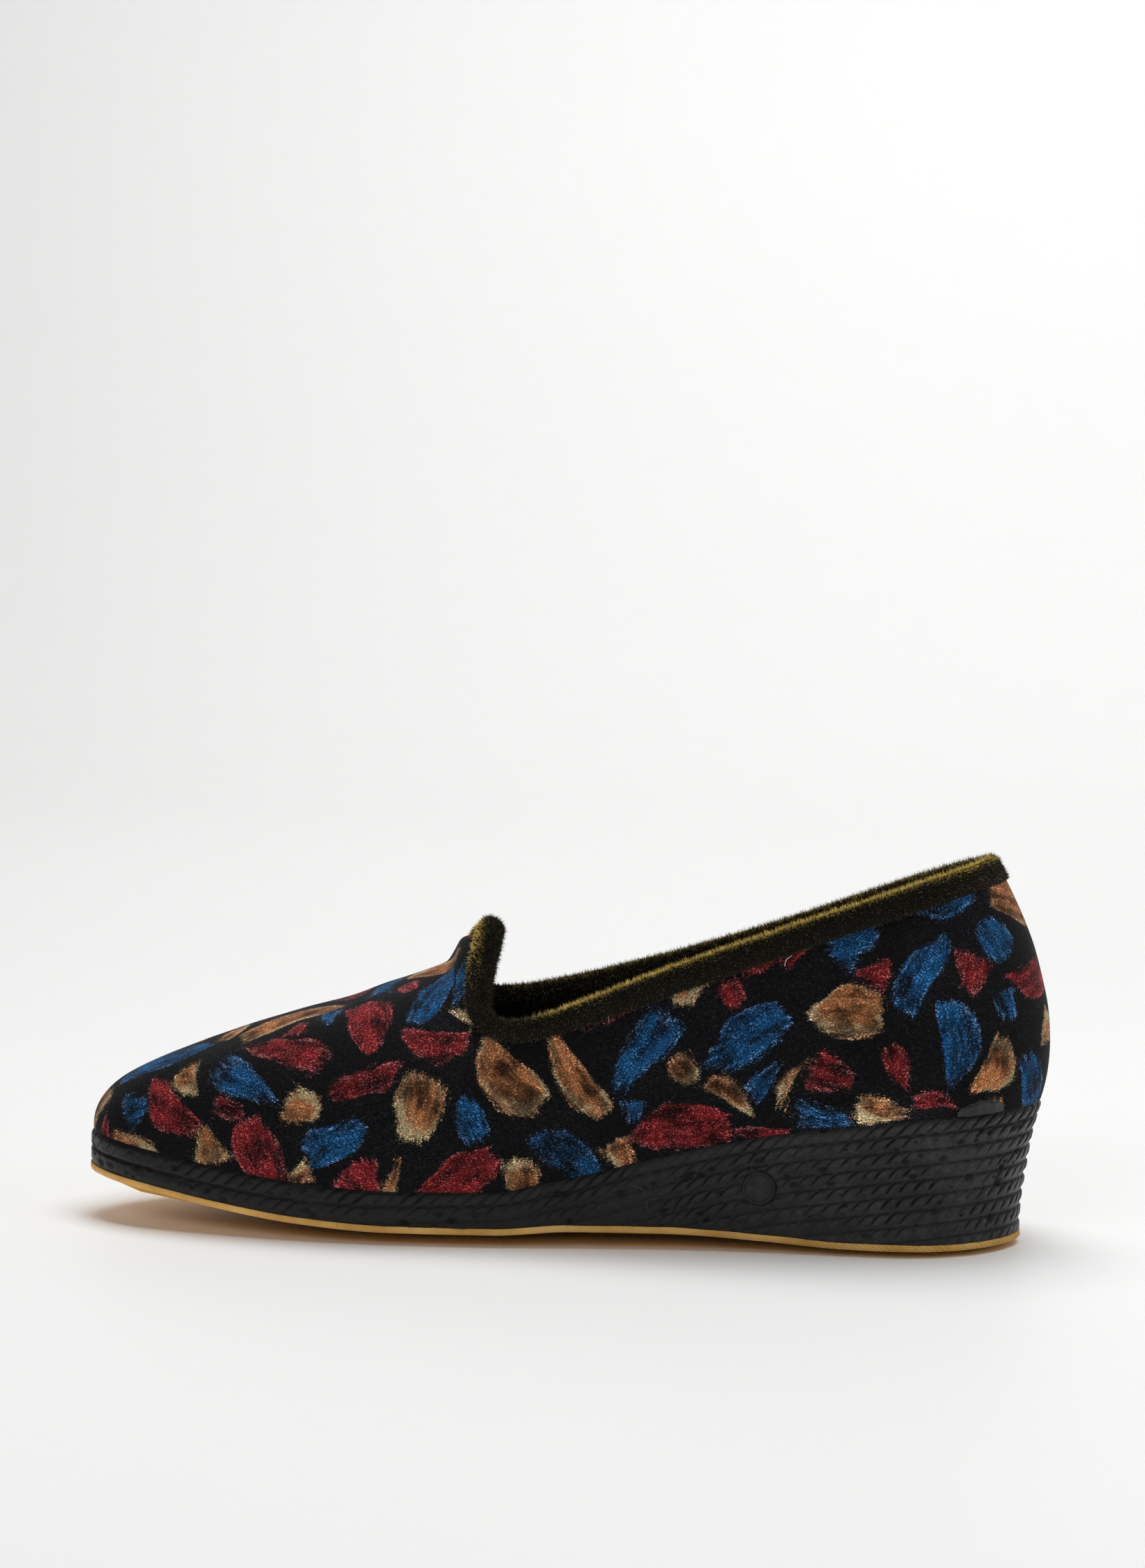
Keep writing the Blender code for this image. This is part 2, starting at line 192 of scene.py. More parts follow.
def wallLengths(t):  # running length up the wall for each column
    line = liningFace(np.repeat(t[:, None], len(fineShare), 1), np.repeat(fineShare[None], len(t), 0))
    run = np.cumsum(np.linalg.norm(np.diff(line, axis=1), axis=2), axis=1)
    return np.concatenate((np.zeros((len(t), 1)), run), axis=1)


def shareAt(runs, want):  # the share w at a length up the wall, one per column
    return np.array([np.interp(v, run, fineShare) for v, run in zip(want, runs)])


def lumps(points, size, seed):  # smooth random field from -1 to 1, size in millimetres
    q = np.asarray(points, float) / size
    base = np.floor(q).astype(np.int64)
    f = q - base
    f = f * f * (3 - 2 * f)
    total = np.zeros(q.shape[:-1])
    for corner in range(8):
        step = np.array([corner & 1, corner >> 1 & 1, corner >> 2 & 1])
        cell = base + step
        h = cell[..., 0] * 73856093 ^ cell[..., 1] * 19349663 ^ cell[..., 2] * 83492791 ^ seed * 2654435761
        h = (h ^ h >> 13) * 1274126177 & 0x7FFFFFFF
        h = (h ^ h >> 15) & 0xFFFF
        total += np.prod(np.where(step, f, 1 - f), axis=-1) * (h / 32767.5 - 1)
    return total


def makePiece(name, points, faces, materials, kinds=None):
    mesh = bpy.data.meshes.new(name)
    place = (np.asarray(points) - [last["originAlong"], last["originAcross"], 0]) * 0.001
    mesh.from_pydata(place.tolist(), [], faces if isinstance(faces, list) else faces.tolist())
    if kinds is not None:
        mesh.polygons.foreach_set("material_index", np.asarray(kinds, np.int32))
    work = bmesh.new()
    work.from_mesh(mesh)
    bmesh.ops.recalc_face_normals(work, faces=work.faces[:])
    work.to_mesh(mesh)
    work.free()
    mesh.polygons.foreach_set("use_smooth", np.ones(len(mesh.polygons), bool))
    for material in materials:
        mesh.materials.append(material)
    piece = bpy.data.objects.new(name, mesh)
    scene.collection.objects.link(piece)
    return piece


def tubeFaces(rows, count):  # rings joined both ways
    r, k = np.meshgrid(np.arange(rows), np.arange(count), indexing="ij")
    r2, k2 = (r + 1) % rows, (k + 1) % count
    return np.stack([r * count + k, r * count + k2, r2 * count + k2, r2 * count + k], -1).reshape(-1, 4)


def addField(piece, name, values):  # numbers, vectors or colours, by the width of a row
    values = np.asarray(values, np.float32)
    kinds = {1: ("FLOAT", "value"), 3: ("FLOAT_VECTOR", "vector"), 4: ("FLOAT_COLOR", "color")}
    kind, key = kinds[values.size // len(values)]
    piece.data.attributes.new(name, kind, "POINT").data.foreach_set(key, values.ravel())


def crown(x):  # how far the middle of the sole's underside lies below its rim
    share = smooth((x - last["crownFrom"]) / last["crownRun"])
    return last["ballCrown"] + (last["heelCrown"] - last["ballCrown"]) * share


def capFaces(points, ring, shares, height, crowned=False):  # ladder of faces across a closed ring
    count, half = len(ring), len(ring) // 2
    lines, extra, middle = [[ring[0]]], [], []
    for k in range(1, half):
        a, b = points[ring[k]], points[ring[count - k]]
        wide = min(1.0, (math.dist(a[:2], b[:2]) / last["crownWidth"]) ** 2)
        line = [ring[k]]
        for share in shares:
            line.append(len(points) + len(extra))
            extra.append(a + (b - a) * share)
            middle.append(wide * float(smooth(min(share, 1 - share) / last["crownEdge"])))
        lines.append(line + [ring[count - k]])
    lines.append([ring[half]])
    extra = np.array(extra)
    extra[:, 2] = height(extra)
    if crowned:
        extra[:, 2] -= crown(extra[:, 0]) * np.array(middle)
    faces = []
    for one, two in zip(lines[:-1], lines[1:]):
        if len(one) == 1:
            faces += [(one[0], two[k], two[k + 1]) for k in range(len(two) - 1)]
        elif len(two) == 1:
            faces += [(one[k], two[0], one[k + 1]) for k in range(len(one) - 1)]
        else:
            faces += [(one[k], two[k], two[k + 1], one[k + 1]) for k in range(len(one) - 1)]
    return np.concatenate((points, extra)), faces


# shader maths: one socket, so that masks and mixes read as plain sums
class Signal:
    def __init__(self, tree, socket=None):
        self.tree, self.socket = tree, socket

    def add(self, kind, settings, sockets, out=0):
        node = self.tree.nodes.new(kind)
        for key, value in settings.items():
            setattr(node, key, value)
        for key, value in sockets.items():
            if isinstance(value, Signal):
                self.tree.links.new(value.socket, node.inputs[key])
            elif value is not None:
                node.inputs[key].default_value = value
        return Signal(self.tree, node.outputs[out])

    def maths(self, operation, one, two=None):
        return self.add("ShaderNodeMath", {"operation": operation}, {0: one, 1: two})

    def __add__(self, other):
        return self.maths("ADD", self, other)

    def __mul__(self, other):
        return self.maths("MULTIPLY", self, other)

    def __sub__(self, other):
        return self.maths("SUBTRACT", self, other)

    def __rsub__(self, other):
        return self.maths("SUBTRACT", other, self)

    def __pow__(self, other):
        return self.maths("POWER", self, other)

    __radd__ = __add__
    __rmul__ = __mul__

    def place(self):
        return self.add("ShaderNodeTexCoord", {}, {}, "Object")

    def between(self, low, high):  # soft step from 0 at low to 1 at high
        return self.add("ShaderNodeMapRange", {"interpolation_type": "SMOOTHSTEP"},
                        {"Value": self, "From Min": low, "From Max": high})

    def noise(self, vector, scale, detail=2.0, rough=0.5):
        return self.add("ShaderNodeTexNoise", {}, {"Vector": vector, "Scale": scale, "Detail": detail,
                                                   "Roughness": rough})

    def mix(self, share, one, two):
        return self.add("ShaderNodeMix", {"data_type": "RGBA"}, {0: share, 6: one, 7: two}, 2)

    def tinted(self, colour, share):  # colour times a number, which may be a socket
        return self.add("ShaderNodeVectorMath", {"operation": "SCALE"}, {0: colour, "Scale": share})

    def field(self, name, out="Fac"):
        return self.add("ShaderNodeAttribute", {"attribute_name": name}, {}, out)


def startMaterial(name):
    material = bpy.data.materials.new(name)
    material.use_nodes = True
    return material, material.node_tree.nodes["Principled BSDF"], Signal(material.node_tree)


def finishMaterial(material, shader, colour, rough, bump=None, strength=0.3, depth=0.0003, **fixed):
    links = material.node_tree.links
    links.new(colour.socket, shader.inputs["Base Color"])
    links.new(rough.socket, shader.inputs["Roughness"])
    if bump is not None:
        sockets = {"Strength": strength, "Distance": depth, "Height": bump}
        ridge = bump.add("ShaderNodeBump", {}, sockets, "Normal")
        links.new(ridge.socket, shader.inputs["Normal"])
    for name, value in fixed.items():
        shader.inputs[name.replace("_", " ")].default_value = value
    return material


def rgb(*colour):
    return (*colour, 1.0)


velvetLook = {"ground": rgb(0.0028, 0.0028, 0.0034), "speck": rgb(0.027, 0.0285, 0.0325),
              "cream": rgb(0.42, 0.34, 0.19), "paintedShine": rgb(0.5, 0.5, 0.52), "grain": 3000.0, "ragged": 1.5,
              "fray": 0.7, "dither": 2.2, "slant": math.radians(38)}


def velvetMaterial():
    material, shader, s = startMaterial("printedVelvet")
    place = s.place()
    slant = s.add("ShaderNodeMapping", {}, {"Vector": place, "Rotation": (0, velvetLook["slant"], 0),
                                            "Scale": (0.72, 1, 1)})
    edge, tint, creamReach = s.field("patchEdge"), s.field("patchTint", "Color"), s.field("creamReach")
    brush, crushed, wale = s.field("brushPlace", "Vector"), s.field("crushed"), s.field("wallRise")
    tuft = s.noise(slant, velvetLook["grain"] * 0.4, 2.0, 0.6)
    grain = s.noise(slant, velvetLook["grain"], 1.0, 0.6)
    streak = s.noise(brush, 1.0, 3.0, 0.62)
    stroke = s.noise(brush, 0.42, 2.0)
    cloud = s.noise(place, 150.0, 2.0)
    nap = s.noise(place, 48.0, 2.0)
    worn = edge + (streak - 0.5) * (2 * velvetLook["ragged"]) + (tuft - 0.5) * (2 * velvetLook["fray"])
    inside = (worn + (grain - 0.5) * velvetLook["dither"]).between(-0.75, 0.8)
    # painted glint: bright specks in the pile, mixed towards a pale painted shine
    paintedGlint = grain.between(0.53, 0.7)
    # light and dark strokes across each patch: partly the print's uneven tone, partly painted sheen of the
    # brushed pile
    body = s.mix((cloud * 0.5 + stroke * 0.5).between(0.36, 0.66), s.tinted(tint, 0.2), s.tinted(tint, 1.95))
    pale = (1.5 - worn).between(0.0, 1.2) * streak.between(0.42, 0.66)
    # lighter brush marks by the edges: partly the print's paler fringe, partly painted sheen
    body = s.mix(pale * 0.6, body, s.mix(0.1, s.tinted(tint, 2.4), velvetLook["paintedShine"]))
    smudge = (streak * 0.65 + cloud * 0.35).between(0.47, 0.36)
    body = s.mix(smudge * 0.75, body, s.tinted(tint, 0.08))  # thin places where the ground shows
    fringe = (creamReach + 0.7 - worn - (streak - 0.5) * 3).between(-0.5, 2.4) * creamReach.between(0.3, 0.6)
    fringe = fringe * (0.2 + cloud.between(0.42, 0.56) * 0.8)  # cream in blotches
    body = s.mix(fringe * 0.85, body, velvetLook["cream"])
    paintedGlint = paintedGlint * (0.35 + streak.between(0.44, 0.66) * 0.65) * (1.0 - creamReach.between(0.3, 0.6) * 0.45)
    body = s.mix(paintedGlint, body, s.mix(0.2, s.tinted(body, 8.0), velvetLook["paintedShine"]))
    body = s.mix(grain.between(0.48, 0.3) * 0.8, body, s.tinted(body, 0.2))
    fleck = grain.between(0.4, 0.75) * (0.45 + tuft.between(0.4, 0.65) * 0.55)
    fleck = fleck * (0.4 + nap.between(0.2, 0.75) * 0.6)
    ground = s.mix(fleck, velvetLook["ground"], velvetLook["speck"])
    colour = s.mix(inside, ground, body)
    ribs = s.maths("SINE", wale * (2 * math.pi / 0.9)) * 0.5 + 0.5  # pressed pile shows the weave in lines
    colour = s.tinted(colour, 1.0 + crushed * (0.35 + ribs * 0.8))
    rough = 0.9 - paintedGlint * 0.22
    height = grain + tuft * 0.7 + crushed * ribs * 0.6
    return finishMaterial(material, shader, colour, rough, height, 0.5, 0.0003,
                          Sheen_Weight=0.06, Sheen_Roughness=0.35, Specular_IOR_Level=0.1)


def liningMaterial():
    material, shader, s = startMaterial("darkLining")
    place = s.place()
    weave = s.noise(place, 1500.0, 2.0)
    colour = s.mix(weave, rgb(0.006, 0.006, 0.007), rgb(0.016, 0.016, 0.017))
    return finishMaterial(material, shader, colour, 0.95 - weave * 0.1, weave, 0.3, 0.0002,
                          Specular_IOR_Level=0.2)


def wedgeMaterial():
    material, shader, s = startMaterial("charcoalRubber")
    place = s.place()
    shadeInHollows, show = s.field("shadeInHollows"), s.field("strandShow")
    saw = s.maths("FRACT", s.field("strandLay"))
    line = (saw.between(0.19, 0.07) + saw.between(0.96, 1.0)) * show  # crisp edge of each laid strand, cut into the bump and darkened as painted shade
    cloud = s.noise(place, 120.0, 3.0)
    grain = s.noise(place, 2600.0, 2.0)
    dust = s.noise(place, 520.0, 4.0, 0.7)
    cell = {"Vector": place, "Scale": 560.0}
    bubble = s.add("ShaderNodeTexVoronoi", {}, cell, "Distance").between(0.16, 0.1)
    bubble = bubble * s.add("ShaderNodeTexVoronoi", {}, cell, "Color").between(0.4, 0.46)
    heel = s.add("ShaderNodeSeparateXYZ", {}, {0: place}, 0).between(0.0, 0.11)
    colour = s.mix(cloud.between(0.3, 0.7), rgb(0.0086, 0.009, 0.0096), rgb(0.0152, 0.0158, 0.0166))
    # painted light and shade: darker from the waist forward and lighter towards the back of the heel; the
    # dust term is the rubber's own mottling
    colour = s.tinted(colour, (0.42 + heel * 1.35) * (0.54 + dust.between(0.3, 0.7) * 0.92))
    # painted shade: grooves, strand edges and bubble pits darkened towards black
    paintedRecessShade = (shadeInHollows + line * 0.95 + bubble * 0.8).between(0.0, 1.0)
    colour = s.mix(paintedRecessShade, colour, rgb(0.0036, 0.0038, 0.0041))
    colour = s.mix(dust.between(0.64, 0.8) * 0.4, colour, rgb(0.062, 0.062, 0.06))
    rough = 0.36 + cloud * 0.14 + shadeInHollows * 0.25 - grain * 0.05
    height = grain + dust * 0.8 - line * 2.2 - bubble * 3.0
    return finishMaterial(material, shader, colour, rough, height, 0.4, 0.00028, Specular_IOR_Level=0.28)


def ochreMaterial():
    material, shader, s = startMaterial("ochreRubber")
    place = s.place()
    cloud = s.noise(place, 90.0, 3.0)
    grain = s.noise(place, 1800.0, 3.0, 0.6)
    smear = s.noise(place, 400.0, 3.0, 0.6)
    saw = s.maths("FRACT", s.field("cutLay") + smear * 0.9)
    # slanted knife marks on the edge
    cut = saw.between(0.2, 0.06) * s.field("cutShow") * smear.between(0.3, 0.5)
    colour = s.mix(cloud.between(0.3, 0.7), rgb(0.54, 0.29, 0.064), rgb(0.72, 0.43, 0.12))
    toe = s.add("ShaderNodeSeparateXYZ", {}, {0: place}, 0).between(0.0, -0.09)
    colour = s.tinted(colour, 1.0 + toe * 0.28)  # painted light: paler towards the toe, where the sole curls up
    colour = s.mix(smear.between(0.62, 0.8) * 0.5, colour, rgb(0.26, 0.15, 0.045))
    colour = s.mix(cut * 0.45, colour, rgb(0.13, 0.07, 0.02))
    colour = s.mix(s.field("under"), colour, rgb(0.9, 0.46, 0.07))  # cleaner and warmer below
    height = grain + smear - cut * 2.0
    return finishMaterial(material, shader, colour, 0.62 + grain * 0.2, height, 0.3, 0.0003,
                          Specular_IOR_Level=0.35)


def insoleMaterial():
    material, shader, s = startMaterial("footbedCloth")
    place = s.place()
    nap = s.noise(place, 1300.0, 3.0, 0.65)
    cloud = s.noise(place, 60.0, 2.0)
    colour = s.mix(nap.between(0.3, 0.7), rgb(0.007, 0.007, 0.008), rgb(0.02, 0.02, 0.021))
    return finishMaterial(material, shader, colour, 0.9 + cloud * 0.08, nap, 0.4, 0.0003, Sheen_Weight=0.1)


def plushMaterial(name, fibres):
    material, shader, s = startMaterial(name)
    if fibres:
        tip, tone, paintedGoldLight = s.field("tipShare"), s.field("fibreTone"), s.field("paintedGoldLight")
        # painted highlight: fibres turn gold where the painted crest and tab light falls, a little more on
        # fibres of lighter tone
        gold = (paintedGoldLight * 1.2 + tone * 1.2 - 1.08).between(0.0, 0.7)
        dark = s.mix(tone ** 2.0, rgb(0.013, 0.0115, 0.0078), rgb(0.13, 0.108, 0.064))
        root = s.mix(gold, rgb(0.006, 0.0054, 0.0038), rgb(0.2, 0.14, 0.042))
        ends = s.mix(gold, dark, rgb(1.0, 0.74, 0.17))
        colour = s.mix(tip.between(0.0, 0.6), root, ends)
        return finishMaterial(material, shader, colour, 0.75 - tone * 0.2, Specular_IOR_Level=0.25)
    place = s.place()
    nap = s.noise(place, 1500.0, 2.0)
    colour = s.mix(nap, rgb(0.004, 0.0036, 0.0024), rgb(0.013, 0.0112, 0.0066))
    return finishMaterial(material, shader, colour, 0.95 - nap * 0.1, nap, 0.5, 0.0004,
                          Specular_IOR_Level=0.15)


# printed velvet upper: one shell, outside velvet and inside lining
upperSize = {"columns": 600, "outerRows": 118, "innerRows": 16, "sink": 0.45, "bindingLeg": 6.0,
             "waver": 0.28, "tabPuff": 3.0}
creases = (  # soft troughs (minus) and ridges: from, to, half width and depth in millimetres
    ((-26, -27, 55), (-62, -33, 41), 6.0, -0.55), ((-29, -22, 58), (-70, -22, 49), 7.0, 0.4),
    ((-26, 27, 55), (-60, 36, 39), 6.0, -0.55), ((-60, -8, 61), (-64, 12, 60), 8.0, -0.5),
    ((70, -31.5, 41.8), (110, -28, 46.4), 2.0, -0.95), ((70, -32, 38.5), (108, -29, 42.6), 2.6, 0.5),
    ((118, -12, 65), (120, 12, 65), 9.0, -0.45), ((28, -32, 45), (62, -31, 53), 8.0, -0.4),
    ((20, 35, 43), (60, 33, 51), 8.0, -0.4))
printPlan = {"seed": 23, "warp": 1.5, "warpSeeds": (61, 62), "grown": (1.3, 1.12, 1.0),
             "tints": {"blue": (0.0034, 0.0345, 0.091), "red": (0.101, 0.0073, 0.0088),
                       "tan": (0.205, 0.081, 0.031)}}
printShapes = (  # kind, half length, half width, spread, tries, clear black between, in millimetres
    ("blade", 11.2, 5.8, 2.4, 90, 2.6), ("stroke", 10.4, 4.2, 2.4, 130, 2.5),
    ("pebble", 7.4, 6.0, 1.8, 120, 2.5), ("fan", 10.0, 7.6, 2.0, 260, 2.3),
    ("blade", 8.6, 4.2, 2.0, 420, 2.3), ("stroke", 7.6, 2.9, 1.6, 700, 2.1),
    ("pebble", 5.0, 3.8, 1.3, 500, 2.0), ("fan", 6.4, 4.6, 1.4, 700, 1.9),
    ("stroke", 5.6, 1.6, 1.2, 1200, 1.7))
# patches by the heel's sole line: kind, half sizes, place along, rise over the sole, turn, tint
heelPatches = (("stroke", 6.5, 3.4, 74.0, 3.6, 0.1, "blue"), ("pebble", 6.0, 3.8, 88.5, 3.8, 0.0, "tan"),
               ("blade", 6.5, 3.2, 101.0, 4.0, 0.2, "red"))


def shapeEdge(kind, u, v, a, b, bow):  # millimetres inside the shape's edge, minus outside
    v = v - bow * (u * u / a - 0.4 * a)
    if kind == "blade":  # flatter on one side, blunt at one end
        ball = (a * a + b * b) / (2 * b)
        v = np.where(v > 0, v * 1.9, v)
        return np.minimum(ball - np.hypot(u, np.abs(v) + ball - b), 0.72 * a - u)
    if kind == "fan":
        return np.minimum(0.55 * a - np.hypot(u, 0.6 * v), (0.5 * (u + a) * b / a - np.abs(v)) * 0.88)
    power = 3.4 if kind == "stroke" else 2.3
    v = v / (1 + 0.3 * u / a)
    return (1 - (np.abs(u / a) ** power + np.abs(v / b) ** power) ** (1 / power)) * b


def startMotif(kind, centre, normal, aim, bow, phase):
    along = np.cross(normal, aim)
    along /= np.linalg.norm(along)
    return {"kind": kind, "centre": centre, "normal": normal, "along": along,
            "across": np.cross(normal, along), "bow": bow, "phase": phase}


def layMotif(points, normals, warps, motif):
    away = points - motif["centre"]
    close = np.einsum("ij,ij->i", away, away) < (motif["a"] + 8) ** 2
    near = np.where(close & (normals @ motif["normal"] > 0.1))[0]
    u = away[near] @ motif["along"] + warps[0][near]
    v = away[near] @ motif["across"] + warps[1][near]
    return near, u, v, shapeEdge(motif["kind"], u, v, motif["a"], motif["b"], motif["bow"])


def printFields(points, normals, areas):
    rng = np.random.default_rng(printPlan["seed"])
    flat, n = points.reshape(-1, 3), normals.reshape(-1, 3)
    coarse, coarseN = points[::2, ::3].reshape(-1, 3), normals[::2, ::3].reshape(-1, 3)
    warps = [printPlan["warp"] * lumps(flat, 8, seed) for seed in printPlan["warpSeeds"]]
    coarseWarps = [w.reshape(points.shape[:2])[::2, ::3].ravel() for w in warps]
    taken = np.full(len(coarse), -20.0)
    chance = areas[::2, ::3].ravel() / areas[::2, ::3].sum()
    tints, motifs = list(printPlan["tints"]), []
    for kind, a, b, x, rise, turn, tint in heelPatches:
        motif = startMotif(kind, *velvetAt(x, rise), [math.sin(turn), 0, math.cos(turn)], 0.1, 1.0)
        motif.update(a=a, b=b, tint=tint)
        near, _, _, inside = layMotif(coarse, coarseN, coarseWarps, motif)
        taken[near] = np.maximum(taken[near], inside)
        motifs.append(motif)
    for kind, a, b, spreadBy, tries, clear in printShapes:
        for pick, draw in zip(rng.choice(len(coarse), tries, p=chance), rng.random((tries, 6))):
            turn = draw[0] * 2 * math.pi
            motif = startMotif(kind, coarse[pick], coarseN[pick], [math.cos(turn), 0.3, math.sin(turn)],
                               0.5 * (draw[3] - 0.5), draw[4] * 6.28)
            for grown in printPlan["grown"]:  # the largest that fits
                motif["a"] = grown * (a + spreadBy * (2 * draw[1] - 1))
                motif["b"] = grown * (b + 0.5 * spreadBy * (2 * draw[2] - 1))
                near, _, _, inside = layMotif(coarse, coarseN, coarseWarps, motif)
                clash = np.any((inside > -clear / 2) & (taken[near] > -clear / 2))
                if not clash:
                    break
            if clash:
                continue
            taken[near] = np.maximum(taken[near], inside)
            beside = sorted(motifs, key=lambda m: np.linalg.norm(m["centre"] - motif["centre"]))[:3]
            used = [m["tint"] for m in beside]
            order = {name: (draw[5] * 9 + k) % 3 for k, name in enumerate(tints)}
            motif["tint"] = min(tints, key=lambda name: (used.count(name), order[name]))
            motifs.append(motif)
    best = np.full(len(flat), -9.0)
    colour, creamReach, place = np.zeros((len(flat), 4)), np.zeros(len(flat)), np.zeros((len(flat), 3))
    for k, motif in enumerate(motifs):
        near, u, v, inside = layMotif(flat, n, warps, motif)
        better = inside > best[near]
        hit, u, v = near[better], u[better], v[better]
        best[hit] = inside[better]
        colour[hit] = (*printPlan["tints"][motif["tint"]], 1)
        side = 0.5 + 0.5 * np.cos(np.arctan2(v / motif["b"], u / motif["a"]) - motif["phase"])
        creamReach[hit] = (0.45 + 2.6 * side**2) if motif["tint"] == "tan" else 0.0
        place[hit] = np.stack([u * 0.16, v * 0.8, np.full(len(u), k * 3.7)], -1)
    covered = (areas.ravel() * (best > 0)).sum() / areas.sum()
    print("print motifs", len(motifs), "covered", round(float(covered), 3))
    return best - 0.2, colour, creamReach, place


def creaseRelief(points):
    total = np.zeros(points.shape[:-1])
    for start, stop, half, depth in creases:
        start, stop = np.array(start, float), np.array(stop, float)
        way = stop - start
        share = np.clip((points - start) @ way / (way @ way), 0, 1)
        away = np.linalg.norm(points - start - share[..., None] * way, axis=-1)
        total += depth * np.exp(-(away / half) ** 2)
    return total


def buildUpper(velvet, lining):
    t = spread(upperSize["columns"])
    runs = wallLengths(t)
    full = runs[:, -1]
    leg = upperSize["bindingLeg"]
    steps = [(full - leg) * (k / (upperSize["outerRows"] - 4)) for k in range(upperSize["outerRows"] - 3)]
    steps += [full - leg * (1 - k / 3) for k in (1, 2, 3)]
    ww = np.array([shareAt(runs, want) for want in steps])
    tt = np.repeat(t[None], len(ww), 0)
    inner, normals = liningFace(tt, ww), wallNormal(tt, ww)
    points = inner + normals * last["wall"]
    heights = np.array(steps)
    hold = smooth(heights / 5) * smooth((full[None] - heights) / 9)  # still at sole and collar
    dent = upperSize["waver"] * (lumps(points, 21, 3) + 0.5 * lumps(points, 9, 5)) + creaseRelief(points)
    outer = points + normals * (dent * hold)[..., None]
    down = full[None] - heights
    puff = upperSize["tabPuff"] * np.clip(around(t, "tab"), 0, 1) * np.exp(-((down - 8.4) / 4.5) ** 2)
    puff = puff * smooth((down - 3.4) / 2.6)
    outer += normals * puff[..., None]  # velvet swells where the tab's binding grips it
    outer[0, :, 2] = soleTop(outer[0, :, 0]) + last["gap"] - upperSize["sink"]
    picked = np.linspace(0, len(ww) - 1, upperSize["innerRows"]).astype(int)
    inner = inner[picked][::-1]
    inner[-1, :, 2] = soleTop(inner[-1, :, 0]) + last["gap"] - upperSize["sink"]
    rings = np.concatenate((outer, inner))
    count = len(t)
    row = np.repeat(np.arange(len(rings)), count)
    kinds = np.where((row >= len(outer) - 1) & (row < len(rings) - 1), 1, 0)
    faces = tubeFaces(len(rings), count)
    piece = makePiece("velvetUpper", rings.reshape(-1, 3), faces, [velvet, lining], kinds)
    areas = np.linalg.norm(np.cross(np.roll(points, -1, 1) - points, np.gradient(points, axis=0)), axis=2)
    edge, tints, creamReach, place = printFields(points, normals, areas)
    pinch = smooth((points[..., 0] - 60) / 10) * smooth((108 - points[..., 0]) / 6) * (points[..., 1] < 0)
    crushed = (pinch * smooth((7.5 + 2 * lumps(points, 8, 8) - heights) / 2.5)).ravel()
    fields = {"patchEdge": edge, "patchTint": tints, "creamReach": creamReach, "brushPlace": place,
              "crushed": crushed, "wallRise": heights.ravel()}
    for name, values in fields.items():  # the lining has no print
        spare = np.zeros((len(rings) * count - len(values), *values.shape[1:]))
        addField(piece, name, np.concatenate((values, spare - 5 if name == "patchEdge" else spare)))
    print("upper", len(piece.data.polygons), "faces")
    return piece


# rows across the underside
soleShares = (0.03, 0.08, 0.14, 0.2, 0.25, 0.42, 0.58, 0.75, 0.8, 0.86, 0.92, 0.97)


def stackFaces(rings, shares, above, below, crowned=False):  # rings joined in a stack, closed above and below
    count, rows = len(rings[0]), len(rings)
    faces = [tuple(f) for f in tubeFaces(rows, count)[: (rows - 1) * count].tolist()]
    points, lid = capFaces(np.concatenate(rings), list(range(count)), shares, above, crowned)
    points, base = capFaces(points, list(range((rows - 1) * count, rows * count)), shares, below, crowned)
    return points, faces + lid + base


# moulded wedge: rope ribs parallel to the top edge, cut off by the ground line
wedgeSize = {"columns": 1400, "step": 0.34, "pitch": 4.05, "toePitch": 5.2, "bulge": 0.8, "rimRound": 0.9,
             "taperPower": 1.8, "strandPitch": 4.1, "strandSlant": 1.15, "strandDepth": 0.55,
             "outsole": 1.8, "sink": 0.12, "pits": 380, "seed": 7}


def wedgeHeight(t):
    x, _ = rimInset(t, wedgeSize["rimRound"])
    return soleTop(x) - ground(x) - wedgeSize["outsole"] + 0.1


def sideInset(t, depth, height):
    return around(t, "taper") * (1 - (1 - np.clip(depth / height, 0, 1)) ** wedgeSize["taperPower"])


